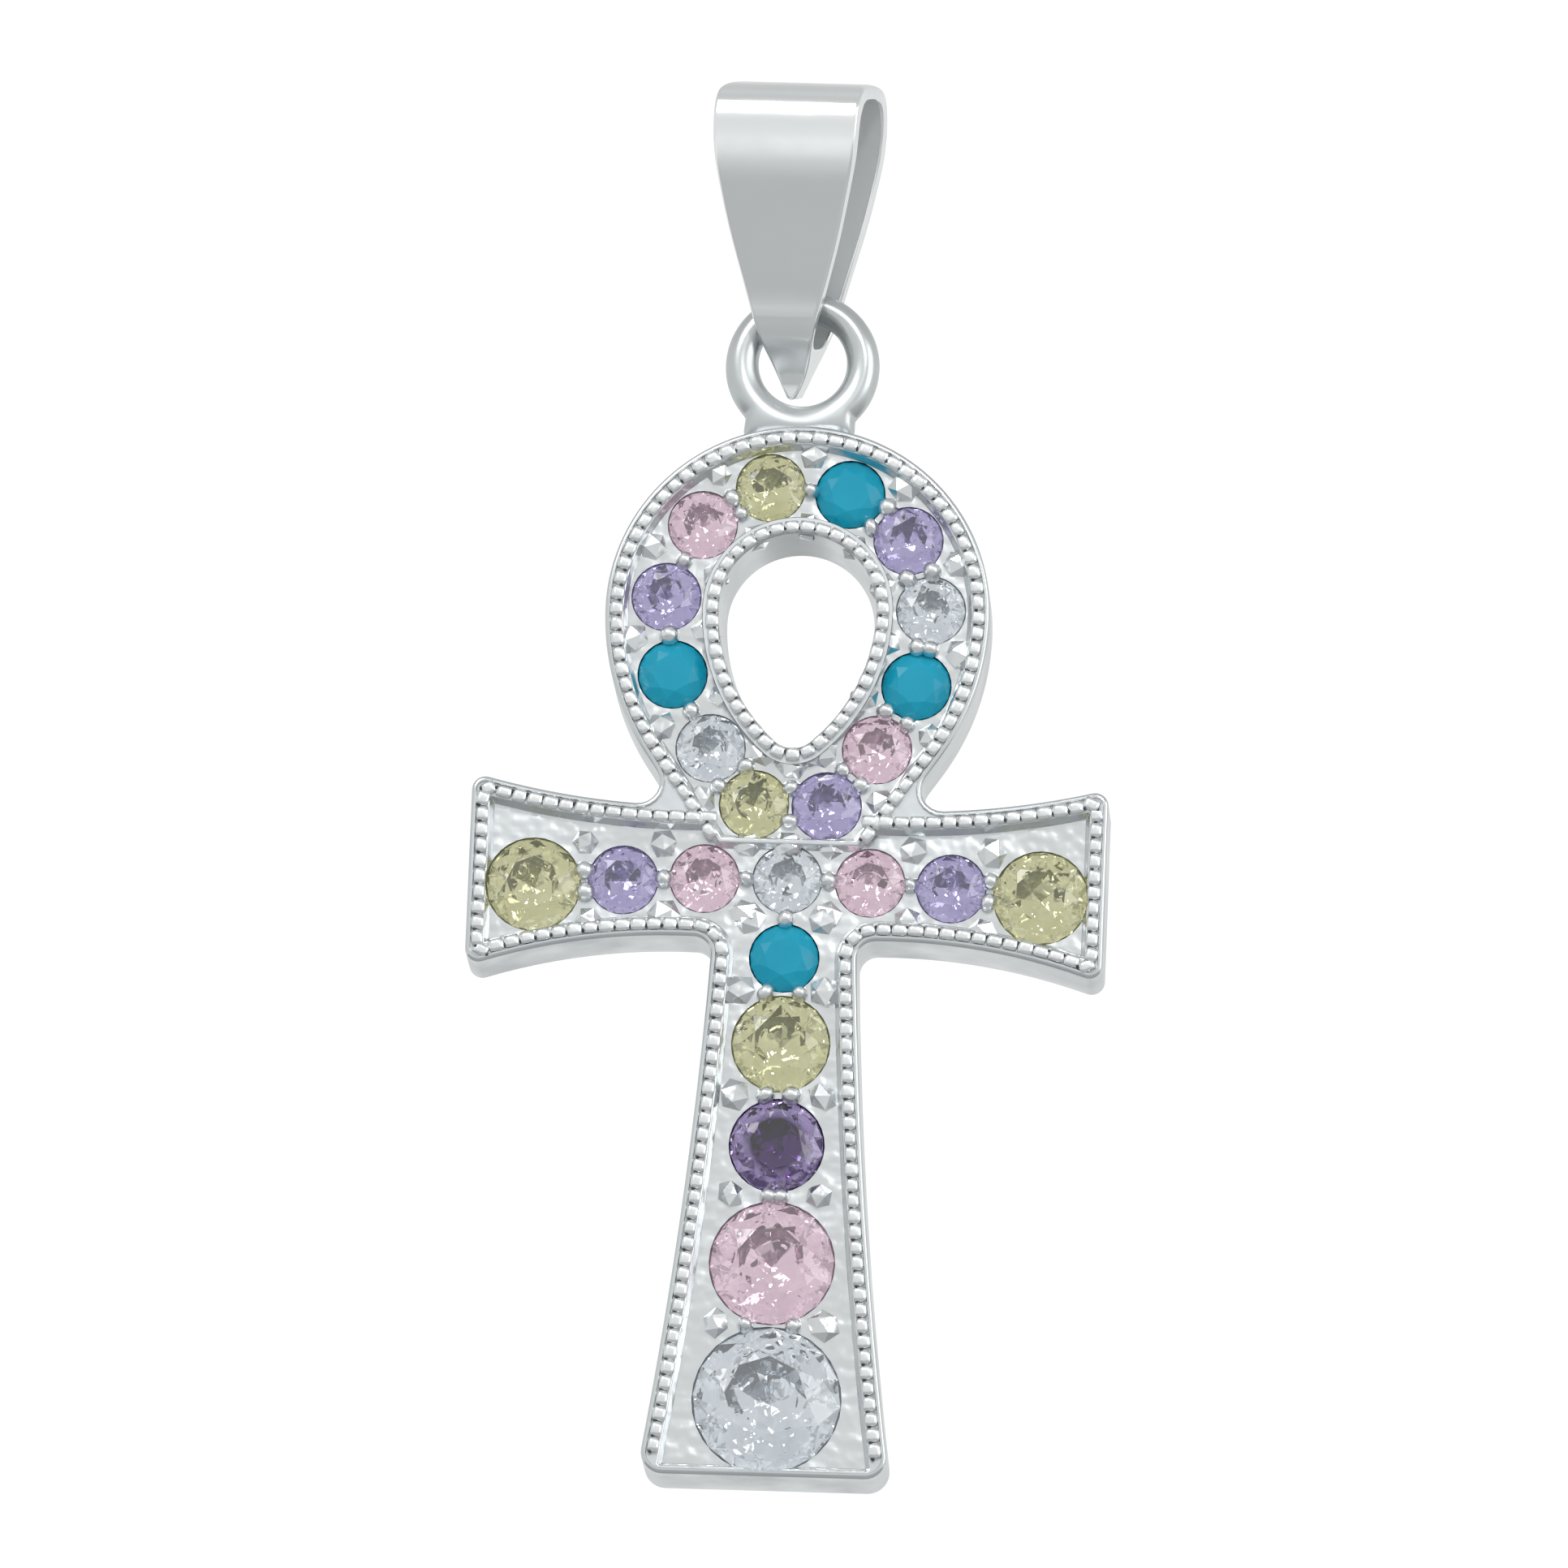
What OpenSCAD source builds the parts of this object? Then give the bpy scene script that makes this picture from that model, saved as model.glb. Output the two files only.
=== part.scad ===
// Ankh pendant: a cast silver ankh with a stone-set channel, a soldered ring and a folded bail.
// Millimetres. +Z is up, the front faces -Y and +X is to the right, seen from the front.
// The origin is the chain's seat, the middle of the inside of the bail's crest.
// Sizes of the ankh are measured from its crossing, the middle of the row of stones in the arms.

/* [Loop] */
// Outer radius of the loop's round top
loop_r = 5.75; // [5.5:0.05:6.3]
// Height of the loop's centre above the crossing
loop_rise = 8.1; // [7.9:0.1:8.5]
// Radius of the arcs that draw the loop in below its widest place
flank_r = 7.8; // [7.4:0.1:8.4]
// Lean of the straight flanks that run on down to the crossing, in degrees
flank_lean = 34.5; // [33:0.5:36]
// Height of the centre of the hole's round top above the crossing
hole_rise = 8.2; // [8:0.1:8.5]
// Radius of the round top of the loop's hole
hole_r = 2.2; // [2:0.1:2.5]
// Radius of the arcs that draw the hole in to its point
hole_flank_r = 5.25; // [4.8:0.05:5.6]
// Radius of the rounded point at the foot of the hole
hole_tip_r = 0.65; // [0.5:0.05:0.9]

/* [Arms] */
// Length over both arms
arm_span = 19; // [18:0.5:20]
// Height of the arms' top edge above the crossing, at its lowest
arm_top_root = 2.1; // [2:0.05:2.3]
// Height of the arms' top edge above the crossing, at the ends
arm_top_end = 2.95; // [2.7:0.05:3.2]
// Depth of the arms' bottom edge below the crossing, at its highest
arm_foot_root = 1.87; // [1.75:0.01:2]
// Depth of the arms' bottom edge below the crossing, at the ends
arm_foot_end = 3; // [2.6:0.1:3.2]
// Distance from the middle to where the arms are narrowest
arm_waist_x = 3.17; // [3:0.01:3.4]
// Rounding of the arms' corners
arm_corner_r = 0.4; // [0.2:0.1:0.6]
// Fillet between the loop and the arms
waist_fillet = 0.65; // [0.4:0.05:0.8]

/* [Stem] */
// Depth of the stem's foot below the crossing
stem_drop = 18.2; // [18.1:0.1:19]
// Width of the stem where it leaves the arms
stem_top_w = 4.3; // [4.2:0.1:4.6]
// Width of the stem at its foot
stem_foot_w = 7.5; // [7.1:0.1:8]
// Radius of the long curve of the stem's sides
stem_side_r = 150; // [120:10:220]
// Fillet between the stem and the arms
stem_fillet = 0.55; // [0.4:0.05:0.7]
// Rounding of the foot's corners
foot_corner_r = 0.65; // [0.3:0.05:0.8]

/* [Section] */
// Thickness of the ankh from front to back
body_t = 2.4; // [2.3:0.1:3]
// Width of the raised rim round the channel
rim_w = 0.56; // [0.5:0.02:0.62]
// Width of the thinner rim along the foot
foot_rim_w = 0.26; // [0.22:0.02:0.4]
// Depth of the channel below the rim
channel_depth = 0.42; // [0.3:0.02:0.5]
// Height of the ridge between the loop's channel and the arms' above the crossing
ridge_z = 1.1; // [1.08:0.01:1.14]
// Thickness of that ridge
ridge_w = 0.17; // [0.14:0.01:0.2]
// How far that ridge lies below the rim
ridge_drop = 0.12; // [0:0.02:0.2]

/* [Stones] */
// Diameter of the small stones
small_d = 2.05; // [1.9:0.05:2.1]
// Diameter of the two end stones of the arms
arm_end_d = 2.8; // [2.5:0.1:3]
// Diameter of the yellow stone of the stem
stem_yellow_d = 2.9; // [2.6:0.1:3]
// Diameter of the dark violet stone of the stem
stem_violet_d = 2.8; // [2.6:0.1:2.9]
// Diameter of the pink stone of the stem
stem_pink_d = 3.7; // [3.4:0.05:3.8]
// Diameter of the clear stone at the foot
stem_clear_d = 4.4; // [4:0.1:4.6]
// How much lower the arms' end stones sit than the stone at the crossing
arm_row_fall = 0.35; // [0:0.05:0.4]
// Gap between the two large stones of the stem
stone_gap = 0.1; // [0.08:0.01:0.14]
// Clearance between a stone and its seat
seat_gap = 0.03; // [0.02:0.01:0.04]
// Depth of the stones' girdles below the rim
girdle_depth = 0.46; // [0.44:0.01:0.5]
// Radius of the bead prongs
prong_r = 0.21; // [0.16:0.01:0.24]

/* [Ring] */
// Diameter of the ring's wire
wire_d = 0.9; // [0.8:0.02:0.94]
// Outer diameter of the ring
ring_d = 4.62; // [4.6:0.02:5]
// How far the ring sits to the right of the middle of the loop
ring_x = -0.2; // [-0.2:0.1:0.2]
// How deep the ring's wire is sunk into the top of the loop
ring_sink = 0.2; // [0.1:0.05:0.3]
// Radius of the solder fillets beside the ring
solder_r = 0.5; // [0.3:0.05:0.8]
// Thickness of the solder from front to back
solder_t = 0.7; // [0.5:0.05:0.8]

/* [Bail] */
// Height of the bail from its crest to its tip
bail_h = 9.5; // [9.4:0.1:10.5]
// Width of the bail at its crest
bail_w = 4.46; // [4:0.02:4.6]
// Thickness of the bail's strap
strap_t = 0.46; // [0.4:0.02:0.56]
// Half of the inside depth of the bail at the crest
seat_half = 1.5; // [1.35:0.05:1.8]
// Half of the inside depth of the bail beside the ring
link_half = 1.06; // [1:0.02:1.2]
// Distance from the chain's seat down to the axis the ankh swings on
link_drop = 6.5; // [6.1:0.05:6.8]
// Gap between the ring's wire and the fold of the bail that carries it
link_gap = 0.3; // [0.2:0.02:0.4]
// How far the bail hangs to the right of the middle of the ring
bail_x = -0.25; // [-0.25:0.05:0.1]
// How far the bail is tipped forwards, in degrees
bail_tip = 16; // [8:1:18]
// How far the bail leans to the side, in degrees
bail_lean = 3; // [0:0.5:4]
// How far the bail is turned on the ring, in degrees
bail_turn = -11; // [-12:1:0]

/* [Hidden] */
SILVER = "gainsboro";
STONE_COLOURS = [
    ["yellow", "khaki"],
    ["turquoise", "darkturquoise"],
    ["violet", "mediumpurple"],
    ["clear", "aliceblue"],
    ["pink", "pink"],
    ["dark_violet", "indigo"],
];

cut = 0.01; // what a cutter runs past the face it opens
arc_steps = 16; // straight steps in a quarter of the loop's round top
edge_steps = 8; // straight steps in an arm's or the stem's long curve
corner_steps = 5; // straight steps in a rounded corner or a fillet
least_corner = 0.03; // rounding left in the channel's corners
prong_gap = 0.05; // from a bead prong to a stone's girdle

arm_reach = arm_span / 2;
stem_top_half = stem_top_w / 2;
stem_foot_half = stem_foot_w / 2;
front_y = -body_t / 2;
back_y = body_t / 2;
floor_y = front_y + channel_depth;
girdle_y = front_y + girdle_depth;

function polar(c, r, a) = [c[0] + r * cos(a), c[1] + r * sin(a)];
function arc(c, r, a0, a1, n) = [for (i = [0:n]) polar(c, r, a0 + (a1 - a0) * i / n)];
function bearing(a, b) = atan2(b[1] - a[1], b[0] - a[0]);
function positive(a) = a < 0 ? a + 360 : a;
function mirrored(pts) = [for (i = [len(pts) - 1:-1:0]) [-pts[i][0], pts[i][1]]];
function reversed(pts) = [for (i = [len(pts) - 1:-1:0]) pts[i]];
function closed(half) = concat(half, mirrored(half));
// Where two circles meet, to the left of the way from c1 to c2 if side is 1, or to the right if it is -1
function meet(c1, r1, c2, r2, side) =
    let (v = c2 - c1, l = norm(v), a = (r1 * r1 - r2 * r2 + l * l) / (2 * l), h = sqrt(max(r1 * r1 - a * a, 0)))
    c1 + a / l * v + side * h / l * [-v[1], v[0]];

// The long hollow curve of an arm's edge: its centre, with the edge seen as a top edge, and its radius
function arm_arc(root, end) =
    let (dx = arm_reach - arm_waist_x, dz = end - root, r = (dx * dx + dz * dz) / (2 * dz))
    [[arm_waist_x, root + r], r];
arm_top = arm_arc(arm_top_root, arm_top_end);
arm_low = arm_arc(arm_foot_root, arm_foot_end);
top_c = arm_top[0];
low_c = [arm_low[0][0], -arm_low[0][1]];

// The stem's side is a long arc through its top and its foot, with its centre outside the stem
side_top = [stem_top_half, -arm_foot_root];
side_foot = [stem_foot_half, -stem_drop];
side_c = meet(side_top, stem_side_r, side_foot, stem_side_r, 1);

loop_c = [0, loop_rise];
flank_c = [loop_r - flank_r, loop_rise];
hole_c = [0, hole_rise];
hole_flank_c = [hole_r - hole_flank_r, hole_rise];
hole_tip_c = [0, hole_rise - sqrt(pow(hole_flank_r - hole_tip_r, 2) - pow(hole_flank_c[0], 2))];
hole_tip_a = bearing(hole_flank_c, hole_tip_c);

// A point of the straight flank that lies k below its upper end, d inside the outline
function flank(d, k) = polar(flank_c, flank_r - d, -flank_lean) + k * [-sin(flank_lean), -cos(flank_lean)];
function flank_at_z(d, z) = flank(d, (flank(d, 0)[1] - z) / cos(flank_lean));

// The centre of the fillet between the flank and the arm's top edge
waist_c = let (
        q = flank(-waist_fillet, 0),
        t = [-sin(flank_lean), -cos(flank_lean)],
        b = (q - top_c) * t,
        c = (q - top_c) * (q - top_c) - pow(arm_top[1] - waist_fillet, 2)
    ) q + (sqrt(b * b - c) - b) * t;
// The centre of the fillet between the arm's bottom edge and the stem
stem_fillet_c = meet(low_c, arm_low[1] - stem_fillet, side_c, stem_side_r - stem_fillet, 1);

// A rounded corner between an upright line at x and a hollow arc: its centre
function corner_c(x, c, r, up) = [x, c[1] - up * sqrt(r * r - pow(x - c[0], 2))];
function corner_r(r, d) = max(r - d, least_corner);

// The round top and the drawn-in flank of the loop, d inside the outline
function loop_side(d) = concat(
    arc(loop_c, loop_r - d, 90, 0, arc_steps),
    arc(flank_c, flank_r - d, 0, -flank_lean, arc_steps / 2));

// Half of an arm's end with the rounded corners of its top and its bottom, d inside the outline
function arm_end(d) =
    let (
        r = corner_r(arm_corner_r, d),
        x = arm_reach - d - r,
        a = corner_c(x, top_c, arm_top[1] + d + r, 1),
        b = corner_c(x, low_c, arm_low[1] + d + r, -1)
    ) [arc(a, r, bearing(a, top_c), 0, corner_steps), arc(b, r, 0, bearing(b, low_c), corner_steps)];

// An arm's hollow edge from the angle a0 to the arm's end, d inside the outline
function top_edge(d, a0) =
    arc(top_c, arm_top[1] + d, a0, positive(bearing(top_c, arm_end(d)[0][0])), edge_steps);
function low_edge(d, a1) =
    arc(low_c, arm_low[1] + d, bearing(low_c, arm_end(d)[1][corner_steps]), a1, edge_steps);

// The stem's side and foot below the angle a0, d inside the outline
function stem_side(d, a0) =
    let (
        r = corner_r(foot_corner_r, d),
        z = max(d - rim_w + foot_rim_w, 0) + r - stem_drop,
        c = [side_c[0] - sqrt(pow(stem_side_r + d + r, 2) - pow(z - side_c[1], 2)), z]
    ) concat(
        arc(side_c, stem_side_r + d, a0, positive(bearing(side_c, c)), edge_steps),
        arc(c, r, bearing(c, side_c), -90, corner_steps));

// The ankh's whole outline
function ankh_outline() = closed(concat(
    loop_side(0),
    arc(waist_c, waist_fillet, 180 - flank_lean, positive(bearing(top_c, waist_c)), corner_steps),
    top_edge(0, positive(bearing(top_c, waist_c))),
    arm_end(0)[0],
    arm_end(0)[1],
    low_edge(0, bearing(low_c, stem_fillet_c)),
    arc(stem_fillet_c, stem_fillet, bearing(low_c, stem_fillet_c), positive(bearing(side_c, stem_fillet_c)),
        corner_steps),
    stem_side(0, positive(bearing(side_c, stem_fillet_c)))));

// The teardrop hole, d outside its edge
function hole_outline(d) = closed(concat(
    arc(hole_c, hole_r + d, 90, 0, arc_steps / 2),
    arc(hole_flank_c, hole_flank_r + d, 0, hole_tip_a, arc_steps / 2),
    arc(hole_tip_c, hole_tip_r + d, hole_tip_a, -90, corner_steps)));

// The loop's channel, d inside the outline, down to the height z
function loop_channel(d, z) = closed(concat(loop_side(d), [flank_at_z(d, z)]));

// The arms' channel, d inside the outline, with a straight top over the crossing
function arm_channel(d) = closed(concat(
    top_edge(d, 270), arm_end(d)[0], arm_end(d)[1], low_edge(d, 90)));

// The stem's channel, d inside the outline, from the crossing down
function stem_channel(d) =
    let (a = 180 - asin(side_c[1] / (stem_side_r + d)))
    closed(stem_side(d, a));

// The middle of the loop's band where its edge has the bearing a
function band_mid(a) = a > 0
    ? (polar(loop_c, loop_r, a) + polar(hole_c, hole_r, a)) / 2
    : (polar(flank_c, flank_r, a) + polar(hole_flank_c, hole_flank_r, a)) / 2;

// Stones of the loop: [side, bearing of the loop's edge at the stone, kind], clockwise from the top left
LOOP_STONES = [
    [-1, 76, "yellow"],
    [1, 69, "turquoise"],
    [1, 36, "violet"],
    [1, 3, "clear"],
    [1, -19, "turquoise"],
    [1, -39, "pink"],
    [-1, -40, "clear"],
    [-1, -17.5, "turquoise"],
    [-1, 6, "violet"],
    [-1, 42, "pink"],
];
// Stones of the arms: [place as a share of the arm's reach, kind]
ARM_STONES = [
    [-0.515, "violet"],
    [-0.26, "pink"],
    [0, "clear"],
    [0.26, "pink"],
    [0.515, "violet"],
];
// The stem's upper stones: [depth below the crossing as a share of the stem's drop, diameter, kind]
STEM_STONES = [
    [0.132, small_d, "turquoise"],
    [0.276, stem_yellow_d, "yellow"],
    [0.446, stem_violet_d, "dark_violet"],
];
pair_x = small_d / 2 + 2 * seat_gap;
pair_z = ridge_z + ridge_w / 2 + small_d / 2 + 2 * seat_gap;
end_x = arm_reach - rim_w - arm_end_d / 2 + seat_gap;
clear_z = -stem_drop + foot_rim_w / 2 + seat_gap + stem_clear_d / 2;
pink_z = clear_z + (stem_clear_d + stem_pink_d) / 2 + stone_gap;
function arm_spot(x) = [x, -arm_row_fall * pow(x / end_x, 2)];

function numbered(name, rows) = [for (i = [0:len(rows) - 1]) concat([str(name, i + 1)], rows[i])];
// Every stone: [name, place, diameter, kind]
STONES = concat(
    numbered("stone_loop_", concat(
        [for (s = LOOP_STONES) [[s[0] * band_mid(s[1])[0], band_mid(s[1])[1]], small_d, s[2]]],
        [[[pair_x, pair_z], small_d, "violet"], [[-pair_x, pair_z], small_d, "yellow"]])),
    numbered("stone_arm_", concat(
        [[arm_spot(-end_x), arm_end_d, "yellow"]],
        [for (s = ARM_STONES) [arm_spot(s[0] * arm_reach), small_d, s[1]]],
        [[arm_spot(end_x), arm_end_d, "yellow"]])),
    numbered("stone_stem_", concat(
        [for (s = STEM_STONES) [[0, -s[0] * stem_drop], s[1], s[2]]],
        [[[0, pink_z], stem_pink_d, "pink"], [[0, clear_z], stem_clear_d, "clear"]])));

// Neighbours that share a pair of bead prongs, one on each side of the line between them
LOOP_ORDER = [0, 1, 2, 3, 4, 5, 10, 11, 6, 7, 8, 9];
PRONG_PAIRS = concat(
    [for (i = [0:11]) [LOOP_ORDER[i], LOOP_ORDER[(i + 1) % 12]]],
    [for (i = [12:17]) [i, i + 1]],
    [[15, 19]],
    [for (i = [19:22]) [i, i + 1]]);

// Proportions of the round cut, as shares of the girdle's radius
CROWN_H = 0.28;
GIRDLE_H = 0.05;
PAVILION_H = 0.8;
TABLE_R = 0.56;
STAR_R = 0.8;
LOWER_R = 0.4;
half_step = 22.5; // degrees from a main facet's middle to its edge
facet_turn = 40; // degrees that a stone is turned on its axis for each millimetre of its place, so no two look alike
// The star and lower facets' points lie on the planes of the main facets
STAR_H = CROWN_H * (1 - STAR_R * cos(half_step)) / (1 - TABLE_R);
LOWER_H = GIRDLE_H + (PAVILION_H - GIRDLE_H) * (1 - LOWER_R * cos(half_step));

// The bail's front outline: [share of its height from the crest, share of its half width]
BAIL_SIDES = [
    [0, 1],
    [0.088, 1],
    [0.218, 0.97],
    [0.348, 0.87],
    [0.48, 0.745],
    [0.616, 0.59],
    [0.75, 0.43],
    [0.86, 0.3],
    [0.94, 0.175],
    [0.985, 0.08],
    [1, 0],
];
function bail_row(t, i = 0) = i >= len(BAIL_SIDES) - 2 || t <= BAIL_SIDES[i + 1][0] ? i : bail_row(t, i + 1);
function bail_slope(i) = i == 0 || i == len(BAIL_SIDES) - 1 ? 0
    : (BAIL_SIDES[i + 1][1] - BAIL_SIDES[i - 1][1]) / (BAIL_SIDES[i + 1][0] - BAIL_SIDES[i - 1][0]);
// The share of the bail's half width at the share t of its height, on a smooth curve through the rows
function bail_share(t) =
    let (
        i = bail_row(t),
        h = BAIL_SIDES[i + 1][0] - BAIL_SIDES[i][0],
        u = (t - BAIL_SIDES[i][0]) / h,
        end = i == len(BAIL_SIDES) - 2
    ) end ? BAIL_SIDES[i][1] * sqrt(1 - u * u)
    : (1 + 2 * u) * pow(1 - u, 2) * BAIL_SIDES[i][1] + u * pow(1 - u, 2) * h * bail_slope(i)
        + u * u * (3 - 2 * u) * BAIL_SIDES[i + 1][1] - u * u * (1 - u) * h * bail_slope(i + 1);

wire_r = wire_d / 2;
ring_mid_r = ring_d / 2 - wire_r;
ring_z = loop_rise + loop_r + ring_d / 2 - ring_sink;
// Where the bail's edges cross the ring, the wire lies lower than at the ring's top
link_half_w = bail_w / 2 * bail_share((strap_t + link_drop) / bail_h);
ring_fall = ring_mid_r - sqrt(pow(ring_mid_r, 2) - pow(link_half_w + abs(bail_x), 2));
link_c = [ring_x + bail_x, 0, ring_z + ring_mid_r - ring_fall / 2];
fold_z = -link_drop - ring_fall / 2 - wire_r - link_gap;
tip_z = strap_t - bail_h;

function ease(t) = let (u = min(max(t, 0), 1)) u * u * (3 - 2 * u);
crest_h = 1.1 * seat_half; // height of the rounded part of the crest
crest_power = 3.2; // how square the crest's shoulders are
fold_power = 3; // how square the fold that carries the ring is
close_len = 2.1; // length over which the two tips close on each other, in depths of the fold
// The bail's side view inside: half depth at the height z, below the crest's rounded part
function inner_half(z) =
    let (e = -link_drop - fold_z)
    z > -link_drop
        ? seat_half + (link_half - seat_half) * ease((-crest_h - z) / (link_drop - crest_h))
        : link_half * pow(max(1 - pow((-link_drop - z) / e, fold_power), 0), 1 / fold_power);
function crest(half, h, a) = [half * pow(cos(a), 2 / crest_power), -h + h * pow(sin(a), 2 / crest_power)];
INNER_SIDE = concat(
    [for (i = [0:9]) crest(seat_half, crest_h, 90 - 10 * i)],
    [for (i = [1:10]) let (z = -crest_h + (crest_h - link_drop) * i / 10) [inner_half(z), z]],
    [for (i = [1:6]) let (z = -link_drop + (fold_z + link_drop) * sin(15 * i)) [inner_half(z), z]]);
// Outside, the strap's thickness is added down to the ring, and below it the two tips close on each other
function outer_half(z) =
    z > -link_drop ? inner_half(z) + strap_t
    : strap_t + link_half * (1 - ease((-link_drop - z) / (close_len * (-link_drop - fold_z))));
OUTER_SIDE = concat(
    [for (i = [0:9]) crest(seat_half + strap_t, crest_h + strap_t, 90 - 10 * i) + [0, strap_t]],
    [for (i = [1:10]) let (z = -crest_h + (crest_h - link_drop) * i / 10) [outer_half(z), z]],
    [for (i = [1:12]) let (z = -link_drop + (tip_z + link_drop) * i / 12) [outer_half(z), z]]);
// The steps of the front outline get shorter towards the rounded tip
BAIL_FRONT = [for (i = [0:30]) let (t = sin(3 * i)) [bail_w / 2 * bail_share(t), strap_t - bail_h * t]];

// A plate with the outline of its children, drawn as (x, z), from y0 at the front to y1 at the back
module plate(y0, y1) {
    translate([0, y1, 0])
        rotate([90, 0, 0])
            linear_extrude(y1 - y0)
                children();
}

// Stands what is modelled from the crossing under the chain's seat: the bail's lean carries the ring with it
module hang_ankh() {
    hung = turned([0, 0, -link_drop]);
    translate(hung - link_c)
        children();
}
function turned(p) = turn_z(turn_y(turn_x(p, bail_tip), bail_lean), bail_turn);
function turn_x(p, a) = [p[0], p[1] * cos(a) - p[2] * sin(a), p[1] * sin(a) + p[2] * cos(a)];
function turn_y(p, a) = [p[0] * cos(a) + p[2] * sin(a), p[1], p[2] * cos(a) - p[0] * sin(a)];
function turn_z(p, a) = [p[0] * cos(a) - p[1] * sin(a), p[0] * sin(a) + p[1] * cos(a), p[2]];

// Points of a ring of n facet corners, the first at the bearing a
function facet_ring(r, z, n, a) = [for (i = [0:n - 1]) [r * cos(a + 360 * i / n), r * sin(a + 360 * i / n), z]];

// A round cut stone with its table up, its girdle at z = 0 and its culet down
module round_cut(d) {
    table = facet_ring(TABLE_R, CROWN_H, 8, 0);
    star = facet_ring(STAR_R, STAR_H, 8, half_step);
    girdle = facet_ring(1, 0, 16, 0);
    under = facet_ring(1, -GIRDLE_H, 16, 0);
    lower = facet_ring(LOWER_R, -LOWER_H, 8, half_step);
    culet = [[0, 0, -PAVILION_H]];
    faces = concat(
        [[for (i = [7:-1:0]) i]],
        [for (i = [0:7]) [i, (i + 1) % 8, 8 + i]],
        [for (i = [0:7]) [i, 8 + i, 16 + 2 * i]],
        [for (i = [0:7]) [i, 16 + 2 * i, 8 + (i + 7) % 8]],
        [for (i = [0:7]) [8 + i, 17 + 2 * i, 16 + 2 * i]],
        [for (i = [0:7]) [8 + i, 16 + (2 * i + 2) % 16, 17 + 2 * i]],
        [for (i = [0:15]) [16 + i, 16 + (i + 1) % 16, 32 + (i + 1) % 16, 32 + i]],
        [for (i = [0:7]) [32 + 2 * i, 33 + 2 * i, 48 + i]],
        [for (i = [0:7]) [33 + 2 * i, 32 + (2 * i + 2) % 16, 48 + i]],
        [for (i = [0:7]) [32 + 2 * i, 48 + i, 56]],
        [for (i = [0:7]) [32 + 2 * i, 56, 48 + (i + 7) % 8]]);
    scale(d / 2)
        polyhedron(concat(table, star, girdle, under, lower, culet), faces);
}

// Puts what is modelled with +Z up on the axis of the stone s, facing the front, at its girdle
module at_stone(s) {
    translate([s[1][0], girdle_y, s[1][1]])
        rotate([90, 0, 0])
            children();
}

// The hollow that a stone sits in: straight down to its girdle, then close round its pavilion
module seat(s) {
    r = s[2] / 2;
    top = girdle_depth + cut;
    at_stone(s)
        rotate_extrude($fn = 48)
            polygon([
                [0, top],
                [r + seat_gap, top],
                [r + seat_gap, -r * GIRDLE_H - seat_gap],
                [r * LOWER_R + seat_gap, -r * LOWER_H - seat_gap],
                [2 * seat_gap, -r * PAVILION_H - seat_gap],
                [0, -r * PAVILION_H - seat_gap],
            ]);
}

// The bead prongs between the stones a and b
module prongs(a, b) {
    reach = prong_r + prong_gap;
    for (side = [-1, 1]) {
        p = meet(a[1], a[2] / 2 + reach, b[1], b[2] / 2 + reach, side);
        translate([p[0], floor_y, p[1]])
            sphere(prong_r, $fn = 24);
    }
}

// The channel's floor plan
module channel() {
    difference() {
        polygon(loop_channel(rim_w, ridge_z + ridge_w / 2));
        polygon(hole_outline(rim_w));
    }
    difference() {
        union() {
            polygon(arm_channel(rim_w));
            polygon(stem_channel(rim_w));
        }
        polygon(loop_channel(rim_w - ridge_w, ridge_z - ridge_w / 2));
    }
}

// The solder's fillet on the right side (1) or the left (-1), from the ring down to the loop
function solder_side(side) =
    let (
        ring_c = [ring_x, ring_z],
        c = meet(loop_c, loop_r + solder_r, ring_c, ring_d / 2 + solder_r, -side),
        a0 = bearing(c, ring_c),
        a1 = bearing(c, loop_c)
    ) arc(c, solder_r, a0, side > 0 ? positive(a1) : a1, corner_steps);

// The solder that flares out from the ring along the top of the loop
module solder() {
    plate(-solder_t / 2, solder_t / 2)
        polygon(concat(
            solder_side(1),
            [[0, loop_rise + loop_r - rim_w]],
            reversed(solder_side(-1))));
}

module ring() {
    translate([ring_x, 0, ring_z])
        rotate([90, 0, 0])
            rotate_extrude($fn = 64)
                translate([ring_mid_r, 0])
                    circle(wire_r, $fn = 32);
}

module ankh_frame() {
    color(SILVER)
        hang_ankh() {
            difference() {
                plate(front_y, back_y)
                    polygon(ankh_outline());
                plate(front_y - cut, back_y + cut)
                    polygon(hole_outline(0));
                plate(front_y - cut, floor_y)
                    channel();
                // the ridge is lowered between the two walls of the channel
                plate(front_y - cut, front_y + ridge_drop)
                    translate([0, ridge_z])
                        square([2 * flank_at_z(rim_w, ridge_z)[0], 2 * ridge_w], center = true);
                for (s = STONES)
                    seat(s);
            }
            for (p = PRONG_PAIRS)
                prongs(STONES[p[0]], STONES[p[1]]);
            ring();
            solder();
        }
}

module bail() {
    color(SILVER)
        rotate([bail_tip, bail_lean, bail_turn])
            intersection() {
                difference() {
                    side_plate()
                        polygon(closed(OUTER_SIDE));
                    side_plate(cut)
                        polygon(closed(INNER_SIDE));
                }
                plate(-2 * bail_w, 2 * bail_w)
                    polygon(closed(BAIL_FRONT));
            }
}

// A plate with the outline of its children, drawn as (y, z), across the bail's width
module side_plate(extra = 0) {
    w = bail_w / 2 + cut + extra;
    translate([-w, 0, 0])
        rotate([90, 0, 90])
            linear_extrude(2 * w)
                children();
}

module stone(s) {
    color(STONE_COLOURS[search([s[3]], STONE_COLOURS)[0]][1])
        hang_ankh()
            at_stone(s)
                rotate([0, 0, facet_turn * (s[1][0] + s[1][1])])
                    round_cut(s[2]);
}

ankh_frame();
bail();
for (s = STONES)
    stone(s);
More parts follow.
